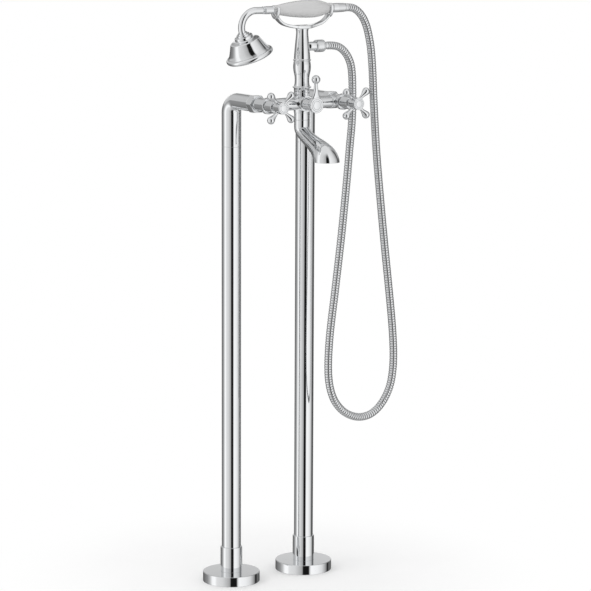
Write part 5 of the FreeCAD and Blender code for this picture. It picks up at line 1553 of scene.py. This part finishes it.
def room_light(tree):
    """How bright the mirrored room is: by bearing round the object, and even above and below.

    The direction is turned so that the photographer stands at bearing nought, its bearing is the
    arc tangent of its level parts, and the ceiling or the floor takes over as it rises or falls.
    """
    place = added(tree, "ShaderNodeTexCoord")
    turn = added(tree, "ShaderNodeVectorRotate", {
        "Vector": place.outputs["Generated"], "Angle": math.radians(-CAMERA_YAW),
    }, rotation_type="Z_AXIS")
    parts = added(tree, "ShaderNodeSeparateXYZ", {"Vector": turn.outputs["Vector"]})
    rise = parts.outputs["Z"]
    ahead = added(tree, "ShaderNodeMath", {0: parts.outputs["Y"], 1: -1.0}, operation="MULTIPLY")
    fall = added(tree, "ShaderNodeMath", {0: rise, 1: -1.0}, operation="MULTIPLY")
    bearing = added(tree, "ShaderNodeMath", {
        0: parts.outputs["X"], 1: ahead.outputs["Value"],
    }, operation="ARCTAN2")
    ranged = added(tree, "ShaderNodeMapRange", {
        "Value": bearing.outputs["Value"], "From Min": -math.pi, "From Max": math.pi,
    })
    low, high, upper = (panel_ramp(tree, ranged.outputs["Result"], column) for column in (1, 2, 3))
    light = faded(tree, low, high, rise, *FLOOR_TO_HIGH)
    light = faded(tree, light, upper, rise, *HIGH_TO_UPPER)
    light = faded(tree, light, grey(CEILING), rise, *UPPER_TO_CEILING)
    return faded(tree, light, grey(UNDERSIDE), fall.outputs["Value"], *FALL_TO_UNDERSIDE)


def light_world(scene):
    """Even light for plain surfaces, the studio's panels in polished ones, and white behind."""
    world = bpy.data.worlds.new("studio")
    world.use_nodes = True
    scene.world = world
    tree = world.node_tree
    plain = tree.nodes["Background"]
    plain.inputs["Color"].default_value = WHITE
    plain.inputs["Strength"].default_value = 1.0
    mirrored = added(tree, "ShaderNodeBackground", {"Color": room_light(tree), "Strength": BRIGHTEST})
    white = added(tree, "ShaderNodeBackground", {"Color": WHITE})
    rays = added(tree, "ShaderNodeLightPath")
    lit = blended(
        tree, rays.outputs["Is Glossy Ray"], plain.outputs["Background"], mirrored.outputs["Background"],
    )
    shown = blended(tree, rays.outputs["Is Camera Ray"], lit, white.outputs["Background"])
    tree.links.new(shown, tree.nodes["World Output"].inputs["Surface"])


def hang_lamp(scene):
    """One soft lamp high on the photographer's left, aimed at the mixer."""
    data = bpy.data.lights.new("soft_lamp", "AREA")
    data.shape = "SQUARE"
    data.size = LAMP_SIZE
    data.energy = LAMP_WATTS
    lamp = bpy.data.objects.new("soft_lamp", data)
    back = unit(np.subtract(LAMP_SPOT, LAMP_AIM))
    across = unit(np.cross(UP, back))
    lamp.matrix_world = placed(across, np.cross(back, across), back, LAMP_SPOT)
    lamp.visible_glossy = False
    scene.collection.objects.link(lamp)


class FILLER_OT_stage(bpy.types.Operator):
    """Lay a pale floor and set a white studio round the object"""

    bl_idname = "filler.stage"
    bl_label = "Stage"

    def execute(self, context):
        looks = context.scene.filler_finishes
        lay_floor(looks)
        light_world(context.scene)
        hang_lamp(context.scene)
        context.scene.view_settings.view_transform = "Standard"
        return {"FINISHED"}


OPERATORS = (
    FILLER_OT_camera,
    FILLER_OT_hose,
    FILLER_OT_feet,
    FILLER_OT_standpipes,
    FILLER_OT_valves,
    FILLER_OT_cross_handles,
    FILLER_OT_mixer,
    FILLER_OT_lever,
    FILLER_OT_spout,
    FILLER_OT_riser,
    FILLER_OT_cradle,
    FILLER_OT_hand_shower,
    FILLER_OT_inner_parts,
    FILLER_OT_stage,
)


class FILLER_PT_pieces(bpy.types.Panel):
    """Lists the pieces of the bath filler and what can be changed on them"""

    bl_idname = "FILLER_PT_pieces"
    bl_label = "Bath Filler"
    bl_space_type = "VIEW_3D"
    bl_region_type = "UI"
    bl_category = "Bath Filler"

    def draw(self, context):
        layout = self.layout
        pieces = layout.column(align=True)
        for operator in OPERATORS:
            pieces.operator(operator.bl_idname)
        scene = context.scene
        for title, group in (("Sizes", scene.filler_sizes), ("Finishes", scene.filler_finishes)):
            layout.label(text=title)
            settings = layout.column(align=True)
            for name in type(group).__annotations__:
                settings.prop(group, name)


CLASSES = (FillerSizes, FillerFinishes, *OPERATORS, FILLER_PT_pieces)


def register():
    """Register the classes and hang the sizes and finishes on the scene."""
    for cls in CLASSES:
        bpy.utils.register_class(cls)
    bpy.types.Scene.filler_sizes = bpy.props.PointerProperty(type=FillerSizes)
    bpy.types.Scene.filler_finishes = bpy.props.PointerProperty(type=FillerFinishes)


def unregister():
    """Take back what register did."""
    del bpy.types.Scene.filler_finishes
    del bpy.types.Scene.filler_sizes
    for cls in reversed(CLASSES):
        bpy.utils.unregister_class(cls)


def main():
    """Build every piece in order."""
    register()
    make_finishes(bpy.context.scene.filler_finishes)
    for operator in OPERATORS:
        group, name = operator.bl_idname.split(".")
        getattr(getattr(bpy.ops, group), name)()


if __name__ == "__main__":
    main()
